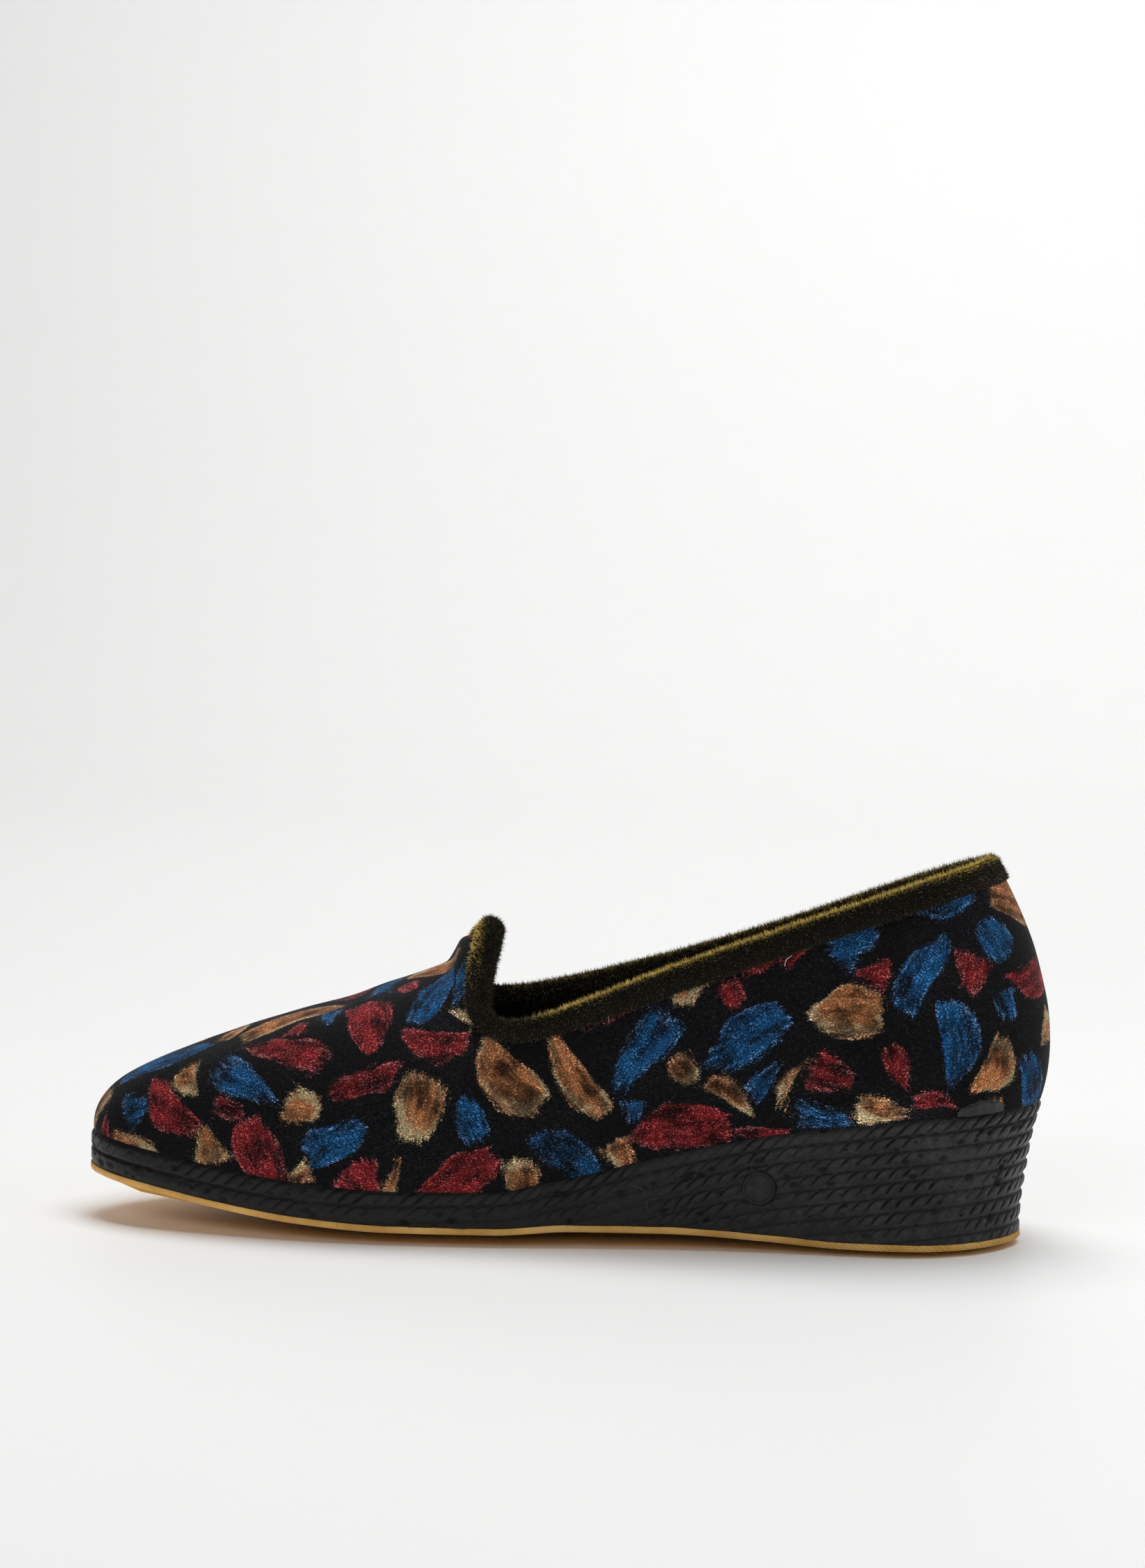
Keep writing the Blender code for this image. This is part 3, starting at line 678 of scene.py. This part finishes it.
def ropeRelief(arc, depth, x):  # outward millimetres, 0 on a rib's crest, and how dark the painted shade in each groove and notch is
    size = wedgeSize
    pitch = size["toePitch"] + (size["pitch"] - size["toePitch"]) * smooth((x + 80) / 60)
    rib = np.floor(depth / pitch)
    u = depth / pitch - rib
    # strands above a plain strip
    band = smooth(u / 0.1 + 0.3) * np.where(rib < 1, smooth((1 - u) / 0.15), smooth((0.84 - u) / 0.34))
    dome = 1 - ((u - 0.4) / 0.6) ** 2
    shift = np.modf(np.abs(np.sin(rib * 12.9898 + 2) * 43758.5453))[0] * size["strandPitch"]
    # each strand hooks over into the groove above
    bend = size["strandSlant"] * pitch * np.clip(u, 0, 1) ** np.where(rib < 1, 0.75, 0.42)
    stray = 0.2 * lumps(np.stack([arc, rib * 9, 0 * arc], -1), 7, 6)
    lay = (arc + shift + bend) / size["strandPitch"] + stray
    saw = lay - np.floor(lay)
    notch = np.where(saw < 0.5, np.exp(-(saw / 0.1) ** 2), np.exp(-((1 - saw) / 0.045) ** 2))
    # the groove is broken by the strands
    thread = np.where(u < 0.5, 0.3 + 0.7 * np.sin(np.pi * np.clip(saw * 1.15, 0, 1)), 0.75)
    groove = np.exp(-(np.minimum(u, 1 - u) * pitch / 0.32) ** 2) * thread
    swell = 0.24 * np.sin(np.pi * saw ** 0.8) ** 0.8
    faint = 0.35 + 0.65 * smooth((x + 120) / 60)  # the toe's ribs are nearly plain
    wear = np.clip(0.7 + 0.75 * lumps(np.stack([arc, depth, 0 * arc], -1), 9, 4), 0.06, 1.2)
    low = soleTop(x) - ground(x) - size["outsole"] - depth
    wide = band * faint * wear * (0.4 + 0.6 * smooth(low / 7))  # the lowest ribs are rubbed flat
    relief = size["bulge"] * (0.42 * band * (0.6 + 0.4 * dome) - 0.42 - 0.55 * groove)
    relief -= (size["strandDepth"] * notch - swell) * wide
    return relief, np.clip(0.9 * groove + 0.5 * notch * wide, 0, 1), lay, wide


def buildWedge(rubber):
    size = wedgeSize
    t = spread(size["columns"])
    arc = arcAt(t)
    height = wedgeHeight(t)
    count = len(t)
    rows = int(height.max() / size["step"]) + 2
    depth = np.arange(rows)[:, None] * size["step"] + np.zeros((1, count))
    ends = np.floor((height - 0.25) / size["step"]).astype(int)  # last row above the trim line
    live = np.arange(rows)[:, None] <= ends[None]
    tt, aa = np.repeat(t[None], rows, 0), np.repeat(arc[None], rows, 0)
    x0, _ = rimInset(tt, 0)
    relief, shadeInHollows, lay, show = ropeRelief(aa, depth, x0)
    lip = smooth(1 - depth / 1.6)  # smooth rounded lip along the velvet
    show *= (1 - lip) * smooth(np.minimum(aa, arc.max() - aa) / 4)
    relief = relief * (1 - lip) - size["rimRound"] * lip
    n = rimNormal(tt)
    x, y = rimInset(tt, sideInset(tt, depth, height[None]))
    z = soleTop(x) - depth
    spot = np.stack([x, y, z], -1)
    relief += 0.11 * lumps(spot, 3.4, 11) + 0.05 * lumps(spot, 1.1, 12)
    rng = np.random.default_rng(size["seed"])
    for pit in rng.random((size["pits"], 4)):  # moulding bubbles and nicks
        a, d, r = pit[0] * arc.max(), pit[1] ** 1.2 * 31, 0.35 + 0.75 * pit[2] ** 2
        cols = np.where(np.abs(arc - a) < 1.6 * r)[0]
        if len(cols):
            rr = np.hypot((aa[:, cols] - a) / 1.5, depth[:, cols] - d)
            bite = np.exp(-(rr / r) ** 4)
            relief[:, cols] -= (0.2 + 0.4 * pit[3]) * bite
            # each pit also gets painted shade
            shadeInHollows[:, cols] = np.maximum(shadeInHollows[:, cols], bite)
    away = np.hypot(x - discSize["x"], z - discSize["z"]) + 99 * (y > 0)
    seat = smooth((discSize["radius"] + 0.6 - away) / 0.5)  # flat seat under the disc
    relief, shadeInHollows, show = relief * (1 - seat) - 0.5 * seat, shadeInHollows * (1 - seat), show * (1 - seat)
    spot[..., 0] += n[..., 0] * relief
    spot[..., 1] += n[..., 1] * relief
    spot[0, :, 2] += 0.22 * lumps(spot[0], 5, 21)
    number = np.cumsum(live.ravel()).reshape(live.shape) - 1
    used = int(live.sum())
    inset = sideInset(t, height, height) + 0.35 * size["bulge"]
    bx, by = rimInset(t, inset)
    bottom = np.stack([bx, by, ground(bx) + size["outsole"] - size["sink"]], -1)
    bottom[:, 2] += 0.26 * lumps(bottom, 2.4, 31) + 0.2 * lumps(bottom, 0.9, 32)  # ragged trim line
    number = np.where(live, number, used + np.arange(count)[None])
    points = np.concatenate((spot[live], bottom))
    shade = np.concatenate((shadeInHollows[live], np.full(count, 0.3)))
    a, b = number[:-1], np.roll(number[:-1], -1, 1)
    c, d = np.roll(number[1:], -1, 1), number[1:]
    quads = np.stack([a, b, c, d], -1).reshape(-1, 4)
    faces = []
    for quad in quads.tolist():
        face = list(dict.fromkeys(quad))
        if len(face) > 2:
            faces.append(tuple(face))
    points, more = capFaces(points, list(number[0]), np.linspace(0, 1, 8)[1:-1], lambda p: soleTop(p[:, 0]))
    faces += more
    low = [used + k for k in range(count)]
    points, more = capFaces(points, low, soleShares,
                            lambda p: ground(p[:, 0]) + size["outsole"] - size["sink"], True)
    faces += more
    piece = makePiece("wedgeSole", points, faces, [rubber])
    spare = np.zeros(len(points) - used)
    addField(piece, "shadeInHollows", np.concatenate((shade, np.zeros(len(points) - len(shade)))))
    addField(piece, "strandLay", np.concatenate((lay[live], spare)))
    addField(piece, "strandShow", np.concatenate((show[live], spare)))
    print("wedge", len(piece.data.polygons), "faces")
    return piece


# ochre outsole sheet
outsoleSize = {"columns": 1100, "thick": 1.8, "ragged": 0.22}


def buildOutsole(ochre):
    t = spread(outsoleSize["columns"])
    height = wedgeHeight(t)
    arc = arcAt(t)
    rings, lays, shows = [], [], []
    for share, out in ((1.0, -0.15), (0.92, 0.16), (0.5, 0.24), (0.1, 0.12), (0.0, -0.2)):
        x, y = rimInset(t, sideInset(t, height, height) - out + 0.1)
        spot = np.stack([x, y, ground(x) + share * outsoleSize["thick"]], -1)
        n = rimNormal(t)
        tick = np.exp(-((np.modf((arc + 2.5 * share) / 2.3)[0] - 0.5) / 0.1) ** 2) * smooth((x - 60) / 25)
        cut = outsoleSize["ragged"] * (lumps(spot, 2.6, 41) + 0.6 * lumps(spot, 0.9, 42)) - 0.24 * tick
        hold = 0.25 if share in (0.0, 1.0) else 1.0
        lays.append((arc + 2.5 * share) / 1.9)
        shows.append(smooth((x - 40) / 40))
        spot[:, :2] += n * (cut * hold)[:, None]
        rings.append(spot)
    points, faces = stackFaces(rings, soleShares, lambda p: ground(p[:, 0]) + outsoleSize["thick"],
                               lambda p: ground(p[:, 0]), True)
    piece = makePiece("ochreOutsole", points, faces, [ochre])
    spare = np.zeros(len(points) - len(rings) * len(t))
    addField(piece, "cutLay", np.concatenate(lays + [spare]))
    addField(piece, "cutShow", np.concatenate(shows + [spare]))
    addField(piece, "under", np.concatenate((np.zeros(len(rings) * len(t)), spare + 1)))
    print("outsole", len(piece.data.polygons), "faces")
    return piece


# footbed inside
insoleSize = {"columns": 360, "thick": 3.0, "clear": 0.5, "dish": 0.5}


def buildInsole(cloth):
    t = spread(insoleSize["columns"])
    inset = last["lip"] + insoleSize["clear"]
    rings = []
    for rise, out in ((3.0, -1.3), (2.8, -0.6), (2.2, -0.15), (1.2, 0.0), (0.05, 0.0)):
        x, y = rimInset(t, inset - out)
        rings.append(np.stack([x, y, soleTop(x) + last["gap"] + rise], -1))

    def dished(p):
        dish = insoleSize["dish"] * smooth((p[:, 0] - 40) / 40)
        return soleTop(p[:, 0]) + last["gap"] + insoleSize["thick"] - dish

    points, faces = stackFaces(rings, np.linspace(0, 1, 12)[1:-1], dished,
                               lambda p: soleTop(p[:, 0]) + last["gap"] + 0.05)
    return makePiece("footbed", points, faces, [cloth])


# plush binding folded over the collar
bindingSize = {"columns": 460, "thick": 1.6, "outerLeg": 4.6, "innerLeg": 6.0, "arcSteps": 9, "heelPull": 1.5,
               "waver": 0.22}
pileSizes = {  # long fibres on the crest of the fold, short ones down its sides
    "crestPile": {"Share": "crestShare", "Density": 1.6e7, "Fibre Length": 0.00145, "Fibre Width": 0.000085,
                  "Tilt": 0.38, "Clump": 1.5, "Seed": 5},
    "sidePile": {"Share": "sideShare", "Density": 7.4e6, "Fibre Length": 0.00105, "Fibre Width": 0.00011,
                 "Tilt": 0.42, "Clump": 1.3, "Seed": 6}}


# out from the lining face, length down from the edge, rise past it, pile share, place across the fold
def foldRing():
    thick, wall, gap = bindingSize["thick"], last["wall"], last["gap"]
    outer, inner = bindingSize["outerLeg"], bindingSize["innerLeg"]
    ring = [(wall + gap, outer, 0, 0.2, -1), (wall + gap + 0.5 * thick, outer + 0.1, 0, 0.8, -1)]
    for share in (0.92, 0.8, 0.65, 0.5, 0.35, 0.2, 0.08):
        swell = thick * (1 + 0.14 * math.sin(math.pi * share)) * (0.9 if share > 0.85 else 1.0)
        ring.append((wall + gap + swell, outer * share, 0, 1, -0.3 - 0.7 * share))
    middle, radius = wall / 2, wall / 2 + gap + thick
    for k in range(bindingSize["arcSteps"]):
        turn = (k + 0.5) / bindingSize["arcSteps"]
        rise = 0.72 * radius * math.sin(math.pi * turn) ** 0.8
        ring.append((middle + radius * math.cos(math.pi * turn), 0, rise, 1, 0.6 * turn - 0.3))
    for share in (0.1, 0.3, 0.5, 0.7, 0.9):
        ring.append((-gap - thick, inner * share, 0, 1, 0.3 + 0.7 * share))
    ring += [(-gap - 0.5 * thick, inner, 0, 0.6, 1), (-gap, inner, 0, 0, 1), (-gap, inner / 2, 0, 0, 1)]
    return ring + [(-gap, 0, gap, 0, 1), (wall + gap, 0, gap, 0, 1), (wall + gap, outer / 2, 0, 0, 1)]


def buildBinding(plush):
    t = spread(bindingSize["columns"])
    runs = wallLengths(t)
    full = runs[:, -1]
    leg, tab = around(t, "leg"), np.clip(around(t, "tab"), 0, 1) ** 0.6
    front = around(t, "edgeX")
    pull = bindingSize["heelPull"] * smooth((front - 92) / 16)  # lies flush with the velvet at the heel
    far = smooth((around(t, "edgeY") + 14) / 28)
    # painted shade: the painted gold light fades in the throat corner and is weaker on the far side
    rim = smooth((front + 12) / 18) * (1 - far) + 0.4 * smooth((front + 30) / 8) * far
    layers, fields = [], {"crestShare": [], "sideShare": [], "paintedGoldLight": [], "comb": []}
    for out, down, rise, share, across in foldRing():
        w = shareAt(runs, full - down * leg)
        below = shareAt(runs, full - down * leg - 1)
        face = liningFace(t, w)
        up = face - liningFace(t, below)
        up /= np.linalg.norm(up, axis=1, keepdims=True)
        hug = float(smooth((out - last["wall"] - last["gap"]) / 1.2))
        spot = face + wallNormal(t, w) * (out - pull * hug)[:, None] + up * rise
        if share > 0.5:
            waver = bindingSize["waver"] * lumps(spot, 6, 51) * (1 if out > 1 else -1)
            spot += wallNormal(t, w) * waver[:, None]
        crest = math.exp(-((across + 0.02) / 0.2) ** 2)
        # painted highlight: the tab's front is painted lit
        cheek = float(smooth((-0.1 - across) / 0.35) * smooth((across + 1.2) / 0.3))
        layers.append(spot)
        fields["crestShare"].append(np.full(len(t), share * float(smooth(crest * 2.2))))
        fields["sideShare"].append(np.full(len(t), share * (1 - 0.7 * crest)))
        fields["paintedGoldLight"].append(crest * rim * (1 - tab) + 0.85 * cheek * tab)
        fields["comb"].append(-up * (0.6 * min(1.0, abs(across) * 1.5)))
    piece = makePiece("plushBinding", np.concatenate(layers), tubeFaces(len(layers), len(t)), [plush])
    for name, values in fields.items():
        addField(piece, name, np.concatenate(values))
    print("binding", len(piece.data.polygons), "faces")
    return piece


def pileTree():  # short fibres standing on a surface, tilted at random
    tree = bpy.data.node_groups.new("plushPile", "GeometryNodeTree")
    tree.interface.new_socket(name="Geometry", in_out="INPUT", socket_type="NodeSocketGeometry")
    kinds = {"Share": "String", "Density": "Float", "Fibre Length": "Float", "Fibre Width": "Float",
             "Tilt": "Float", "Clump": "Float", "Seed": "Int", "Material": "Material"}
    for name, kind in kinds.items():
        tree.interface.new_socket(name=name, in_out="INPUT", socket_type="NodeSocket" + kind)
    tree.interface.new_socket(name="Geometry", in_out="OUTPUT", socket_type="NodeSocketGeometry")

    def add(kind, sockets, out=0, **settings):
        node = tree.nodes.new(kind)
        for key, value in settings.items():
            setattr(node, key, value)
        for key, value in sockets.items():
            if isinstance(value, bpy.types.NodeSocket):
                tree.links.new(value, node.inputs[key])
            else:
                node.inputs[key].default_value = value
        return node.outputs[out]

    def maths(operation, *values):
        return add("ShaderNodeMath", dict(enumerate(values)), operation=operation)

    def vectors(operation, one, two):
        second = "Scale" if operation == "SCALE" else 1
        return add("ShaderNodeVectorMath", {0: one, second: two}, operation=operation)

    def chance(seed):
        return add("FunctionNodeRandomValue", {2: 0.0, 3: 1.0, "Seed": seed}, 1, data_type="FLOAT")

    given = tree.nodes.new("NodeGroupInput").outputs
    share = add("GeometryNodeInputNamedAttribute", {"Name": given["Share"]}, data_type="FLOAT")
    comb = add("GeometryNodeInputNamedAttribute", {"Name": "comb"}, data_type="FLOAT_VECTOR")
    density = maths("MULTIPLY", share, given["Density"])
    points = add("GeometryNodeDistributePointsOnFaces",
                 {"Mesh": given["Geometry"], "Density": density, "Seed": given["Seed"]}, "Points",
                 distribute_method="RANDOM")
    stray = add("FunctionNodeRandomValue",
                {0: (-1.0, -1.0, -0.75), 1: (1.0, 1.0, 1.25), "Seed": given["Seed"]},
                data_type="FLOAT_VECTOR")
    lean = vectors("SCALE", stray, given["Tilt"])
    drift = add("ShaderNodeTexNoise", {"Scale": 420.0, "Detail": 2.0}, "Color")
    drift = vectors("SCALE", vectors("SUBTRACT", drift, (0.5, 0.5, 0.5)), given["Clump"])
    lean = vectors("ADD", vectors("ADD", lean, drift), comb)
    way = vectors("ADD", points.node.outputs["Normal"], lean)
    turn = add("FunctionNodeAlignRotationToVector", {"Vector": way}, axis="Z")
    spike = add("GeometryNodeMeshCone", {"Vertices": 3, "Side Segments": 1, "Radius Top": 0.0,
                                         "Radius Bottom": 1.0, "Depth": 1.0}, "Mesh", fill_type="NGON")
    height = add("ShaderNodeSeparateXYZ", {0: add("GeometryNodeInputPosition", {})}, 2)
    spike = add("GeometryNodeStoreNamedAttribute", {"Geometry": spike, "Name": "tipShare", "Value": height},
                data_type="FLOAT", domain="POINT")
    grow = maths("MULTIPLY_ADD", maths("POWER", chance(17), 3.0), 0.9, 0.5)  # a few long ones
    length = maths("MULTIPLY", grow, given["Fibre Length"])
    size = add("ShaderNodeCombineXYZ", {0: given["Fibre Width"], 1: given["Fibre Width"], 2: length})
    fibres = add("GeometryNodeInstanceOnPoints",
                 {"Points": points, "Instance": spike, "Rotation": turn, "Scale": size})
    fibres = add("GeometryNodeStoreNamedAttribute",
                 {"Geometry": fibres, "Name": "fibreTone", "Value": chance(29)},
                 data_type="FLOAT", domain="INSTANCE")
    solid = add("GeometryNodeRealizeInstances", {"Geometry": fibres})
    solid = add("GeometryNodeSetMaterial", {"Geometry": solid, "Material": given["Material"]})
    tree.links.new(solid, tree.nodes.new("NodeGroupOutput").inputs[0])
    return tree


def growPile(name, base, tree, sizes, material):
    holder = bpy.data.objects.new(name + "Holder", base.data)
    scene.collection.objects.link(holder)
    grower = holder.modifiers.new("pile", "NODES")
    grower.node_group = tree
    keys = {item.name: item.identifier for item in tree.interface.items_tree if item.in_out == "INPUT"}
    for key, value in {**sizes, "Material": material}.items():
        grower[keys[key]] = value
    mesh = bpy.data.meshes.new_from_object(holder.evaluated_get(bpy.context.evaluated_depsgraph_get()))
    bpy.data.objects.remove(holder, do_unlink=True)
    mesh.name = name
    piece = bpy.data.objects.new(name, mesh)
    scene.collection.objects.link(piece)
    print(name, len(mesh.polygons), "faces")
    return piece


# small things on the near side: bare moulded disc, smear of rubber over the velvet, loose threads and lint
discSize = {"x": 56.0, "z": 17.4, "radius": 4.5, "sides": 72, "lumps": 0.16,
            "profile": ((0.0, 0.0), (0.7, 0.0), (1.4, 0.0), (2.1, 0.0), (2.8, 0.0), (3.3, 0.0),
                        (3.6, -0.12), (3.9, 0.12), (4.25, 0.16), (4.45, -0.05), (4.55, -0.3),
                        (4.55, -1.0), (0.0, -1.0))}
smearSize = {"from": 108.0, "to": 119.0, "low": 0.4, "high": 4.4, "thick": 0.5, "along": 48, "up": 18}
threadSize = {"seed": 12, "steps": 22, "bend": 0.9, "stray": 6, "stand": 0.25}
# two at the collar, then lint on the sole: x, height over the floor, length, lift, turn, thickness, paleness
threads = ((66.6, 76.8, 3.9, 0.9, 96, 0.15, 1.0), (17.0, 61.0, 2.4, 1.5, 60, 0.08, 0.8),
           (26.5, 14.4, 6.5, 0.6, 100, 0.045, 0.12), (25.5, 11.9, 5.0, 0.5, 40, 0.045, 0.1),
           (37.5, 11.4, 5.5, 0.4, 70, 0.04, 0.1), (28.0, 9.9, 4.0, 0.5, 150, 0.045, 0.12))


def nearSide(x):  # place round the shoe on the inner side for a length along it
    t = np.linspace(0, roundLength / 2, 4000)
    return float(np.interp(x, around(t, "rimX")[200:-200], t[200:-200]))


def wedgeFace(x, z):
    t = np.array([nearSide(x)])
    height = wedgeHeight(t)
    px, py = rimInset(t, sideInset(t, soleTop(x) - z, height))
    return np.array([px[0], py[0], z]), np.array([*rimNormal(t)[0], 0.0])


def velvetAt(x, rise):  # a point on the velvet by height above the sole
    t = np.array([nearSide(x)])
    w = shareAt(wallLengths(t), [rise])
    return (liningFace(t, w) + wallNormal(t, w) * last["wall"])[0], wallNormal(t, w)[0]


def buildDisc(rubber):
    centre, out = wedgeFace(discSize["x"], discSize["z"])
    across = np.cross([0, 0, 1.0], out)
    points = [centre]
    for radius, rise in discSize["profile"][1:-1]:
        for k in range(discSize["sides"]):
            a = 2 * math.pi * k / discSize["sides"]
            up = np.array([0, 0, radius * math.sin(a)])
            points.append(centre + across * radius * math.cos(a) + up + out * rise)
    points.append(centre - out)
    points = np.array(points)
    points += out * (discSize["lumps"] * lumps(points, 1.5, 15))[:, None]
    sides, rings = discSize["sides"], len(discSize["profile"]) - 2
    faces = [(0, 1 + k, 1 + (k + 1) % sides) for k in range(sides)]
    for r in range(rings - 1):
        a, b = 1 + r * sides, 1 + (r + 1) * sides
        faces += [(a + k, b + k, b + (k + 1) % sides, a + (k + 1) % sides) for k in range(sides)]
    end = 1 + (rings - 1) * sides
    faces += [(end + k, len(points) - 1, end + (k + 1) % sides) for k in range(sides)]
    piece = makePiece("bareDisc", points, faces, [rubber])
    away = np.hypot(*(points - centre)[:, [0, 2]].T)
    # painted shade in the ring's groove and down the disc's side
    addField(piece, "shadeInHollows", 0.12 + 0.7 * np.exp(-((away - 3.6) / 0.25) ** 2) + 0.7 * (away > 4.4))
    return piece


def buildSmear(rubber):
    size = smearSize
    u = np.linspace(0, 1, size["along"] + 1)
    t = np.array([nearSide(x) for x in size["from"] + (size["to"] - size["from"]) * u])
    runs = wallLengths(t)
    top = size["high"] * np.sin(np.pi * np.clip(u, 0.02, 0.98)) ** 0.3
    top *= 0.8 + 0.2 * u + 0.05 * np.sin(14 * u + 1) + 0.04 * np.sin(31 * u)
    rows = []
    for layer in (1, 0):
        for v in np.linspace(0, 1, size["up"] + 1):
            w = shareAt(runs, size["low"] + (top - size["low"]) * v)
            out = wallNormal(t, w)
            rim = np.minimum(np.minimum(1, 5 * np.minimum(u, 1 - u)), 5 * (1 - v))
            rise = 0.12 + size["thick"] * rim if layer else np.full(len(u), -0.3)
            rows.append(liningFace(t, w) + out * (last["wall"] + rise)[:, None])
    wide, tall = len(u), size["up"] + 1
    faces = []
    for base in (0, wide * tall):
        for r in range(tall - 1):
            a, b = base + r * wide, base + (r + 1) * wide
            faces += [(a + k, a + k + 1, b + k + 1, b + k) for k in range(wide - 1)]
    rim = list(range(wide)) + [r * wide + wide - 1 for r in range(1, tall)]
    rim += [(tall - 1) * wide + k for k in range(wide - 2, -1, -1)]
    rim += [r * wide for r in range(tall - 2, 0, -1)]
    faces += [(a, b, b + wide * tall, a + wide * tall) for a, b in zip(rim, rim[1:] + rim[:1])]
    return makePiece("rubberSmear", np.concatenate(rows), faces, [rubber])


def threadMaterial():
    material, shader, s = startMaterial("paleThread")
    twist = s.noise(s.place(), 4000.0, 1.0)
    pale = s.mix(twist, rgb(0.34, 0.32, 0.27), rgb(0.66, 0.64, 0.58))
    colour = s.mix(s.field("paleness"), rgb(0.05, 0.046, 0.038), pale)
    return finishMaterial(material, shader, colour, 0.7 + twist * 0.2)


def buildThreads(cotton):
    points, faces, pale = [], [], []
    rng = np.random.default_rng(threadSize["seed"])
    for x, z, length, lift, turn, radius, paleness in threads:
        spot, out = wedgeFace(x, z) if z < soleTop(x) else velvetAt(x, z - soleTop(x))
        along = np.cross([0, 0, 1.0], out)
        steps, bend = threadSize["steps"], rng.uniform(-threadSize["bend"], threadSize["bend"])
        heading = math.radians(turn)
        start = len(points)
        for k in range(steps):
            share = k / (steps - 1)
            heading += (bend + rng.uniform(-threadSize["stray"], threadSize["stray"])) / steps
            way = along * math.cos(heading) + np.array([0, 0, math.sin(heading)])
            spot = spot + way * length / steps
            middle = spot + out * (threadSize["stand"] + lift * math.sin(math.pi * share))
            side = np.cross(out, way)
            points += [middle + step * radius for step in (out, side, -out, -side)]
            pale += [paleness] * 4
        for k in range(steps - 1):
            a, b = start + 4 * k, start + 4 * k + 4
            faces += [(a + j, a + (j + 1) % 4, b + (j + 1) % 4, b + j) for j in range(4)]
        faces += [(start + 3, start + 2, start + 1, start), tuple(len(points) - 4 + j for j in range(4))]
    piece = makePiece("looseThreads", points, faces, [cotton])
    addField(piece, "paleness", pale)
    return piece


rubber = wedgeMaterial()
upper = buildUpper(velvetMaterial(), liningMaterial())
wedge = buildWedge(rubber)
outsole = buildOutsole(ochreMaterial())
footbed = buildInsole(insoleMaterial())
binding = buildBinding(plushMaterial("plushGround", False))
fibreLook, fibreTree = plushMaterial("plushFibres", True), pileTree()
piles = [growPile(name, binding, fibreTree, sizes, fibreLook) for name, sizes in pileSizes.items()]
disc, smear, cotton = buildDisc(rubber), buildSmear(rubber), buildThreads(threadMaterial())

for piece, node, slot in ((upper, "upper", "velvet"), (wedge, "wedge_sole", "wedge_rubber"),
                          (outsole, "outsole", "outsole_rubber"), (footbed, "insole", "insole_cloth"),
                          (binding, "collar_binding", "plush"), (piles[0], None, "plush"),
                          (piles[1], None, "plush"), (disc, None, "wedge_rubber"),
                          (smear, None, "wedge_rubber"), (cotton, None, None)):
    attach(piece, "root")
    if node:
        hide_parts(node)
print("pieces ride on the shoe")

# studio: pale sweep, soft light, camera at the photo's angle
studio = {"floorHalf": 4.0, "floorFront": -3.0, "wallAt": 1.6, "wallTop": 3.0, "bend": 0.6,
          "tone": (0.92, 0.92, 0.915), "world": 0.13}
lights = {  # place, aim, width, height and power
    "topBox": ((0.12, 0.12, 1.45), (0.0, -0.05, 0.0), 1.5, 0.7, 19.2),
    "frontPanel": ((-0.4, -1.9, 1.3), (0, 0, 0.05), 1.2, 0.7, 6.5),
    "rightPanel": ((1.4, -0.2, 0.8), (0.1, 0, 0.05), 0.6, 0.9, 1.9),
    "wallWash": ((0.3, 0.1, 1.9), (0.15, 1.6, 0.7), 2.0, 0.5, 5.7)}
cameraPlan = {"from": (0.25879, -1.20973, 0.24394), "aim": (0.0021, -0.0021, 0.12015), "lens": 106.0}


def buildStudio():
    line = [(studio["floorFront"], 0.0), (studio["wallAt"] - studio["bend"], 0.0)]
    for k in range(1, 13):
        turn = math.pi / 2 * k / 12
        line.append((studio["wallAt"] - studio["bend"] * (1 - math.sin(turn)),
                     studio["bend"] * (1 - math.cos(turn))))
    line.append((studio["wallAt"], studio["wallTop"]))
    half = studio["floorHalf"]
    verts = [(x, y, z) for y, z in line for x in (-half, half)]
    faces = [(2 * k, 2 * k + 1, 2 * k + 3, 2 * k + 2) for k in range(len(line) - 1)]
    mesh = bpy.data.meshes.new("paperSweep")
    mesh.from_pydata(verts, [], faces)
    mesh.polygons.foreach_set("use_smooth", np.ones(len(faces), bool))
    material, shader, s = startMaterial("palePaper")
    place = s.place()
    tooth = s.noise(place, 60.0, 3.0)
    tone = studio["tone"]
    colour = s.mix(tooth, rgb(*tone), rgb(*[v * 1.012 for v in tone]))
    finishMaterial(material, shader, colour, 0.55 - tooth * 0.05, Specular_IOR_Level=0.3)
    mesh.materials.append(material)
    floor = bpy.data.objects.new("paperSweep", mesh)
    scene.collection.objects.link(floor)
    world = bpy.data.worlds.new("softRoom")
    scene.world = world
    world.use_nodes = True
    world.node_tree.nodes["Background"].inputs["Color"].default_value = rgb(1.0, 1.0, 0.995)
    world.node_tree.nodes["Background"].inputs["Strength"].default_value = studio["world"]
    for name, (place, aim, wide, tall, power) in lights.items():
        lamp = bpy.data.lights.new(name, "AREA")
        lamp.shape, lamp.size, lamp.size_y, lamp.energy = "RECTANGLE", wide, tall, power
        lamp.spread = math.radians(80 if name == "wallWash" else 180)  # the wash stays on the wall
        holder = bpy.data.objects.new(name, lamp)
        holder.location = place
        holder.rotation_euler = (Vector(aim) - Vector(place)).to_track_quat("-Z", "Y").to_euler()
        scene.collection.objects.link(holder)
    lens = bpy.data.cameras.new("photoCamera")
    lens.lens, lens.sensor_width, lens.clip_end = cameraPlan["lens"], 36.0, 30.0
    camera = bpy.data.objects.new("photoCamera", lens)
    camera.location = cameraPlan["from"]
    way = Vector(cameraPlan["aim"]) - Vector(cameraPlan["from"])
    camera.rotation_euler = way.to_track_quat("-Z", "Y").to_euler()
    scene.collection.objects.link(camera)
    scene.camera = camera
    scene.view_settings.view_transform = "Standard"


buildStudio()
print("studio set")
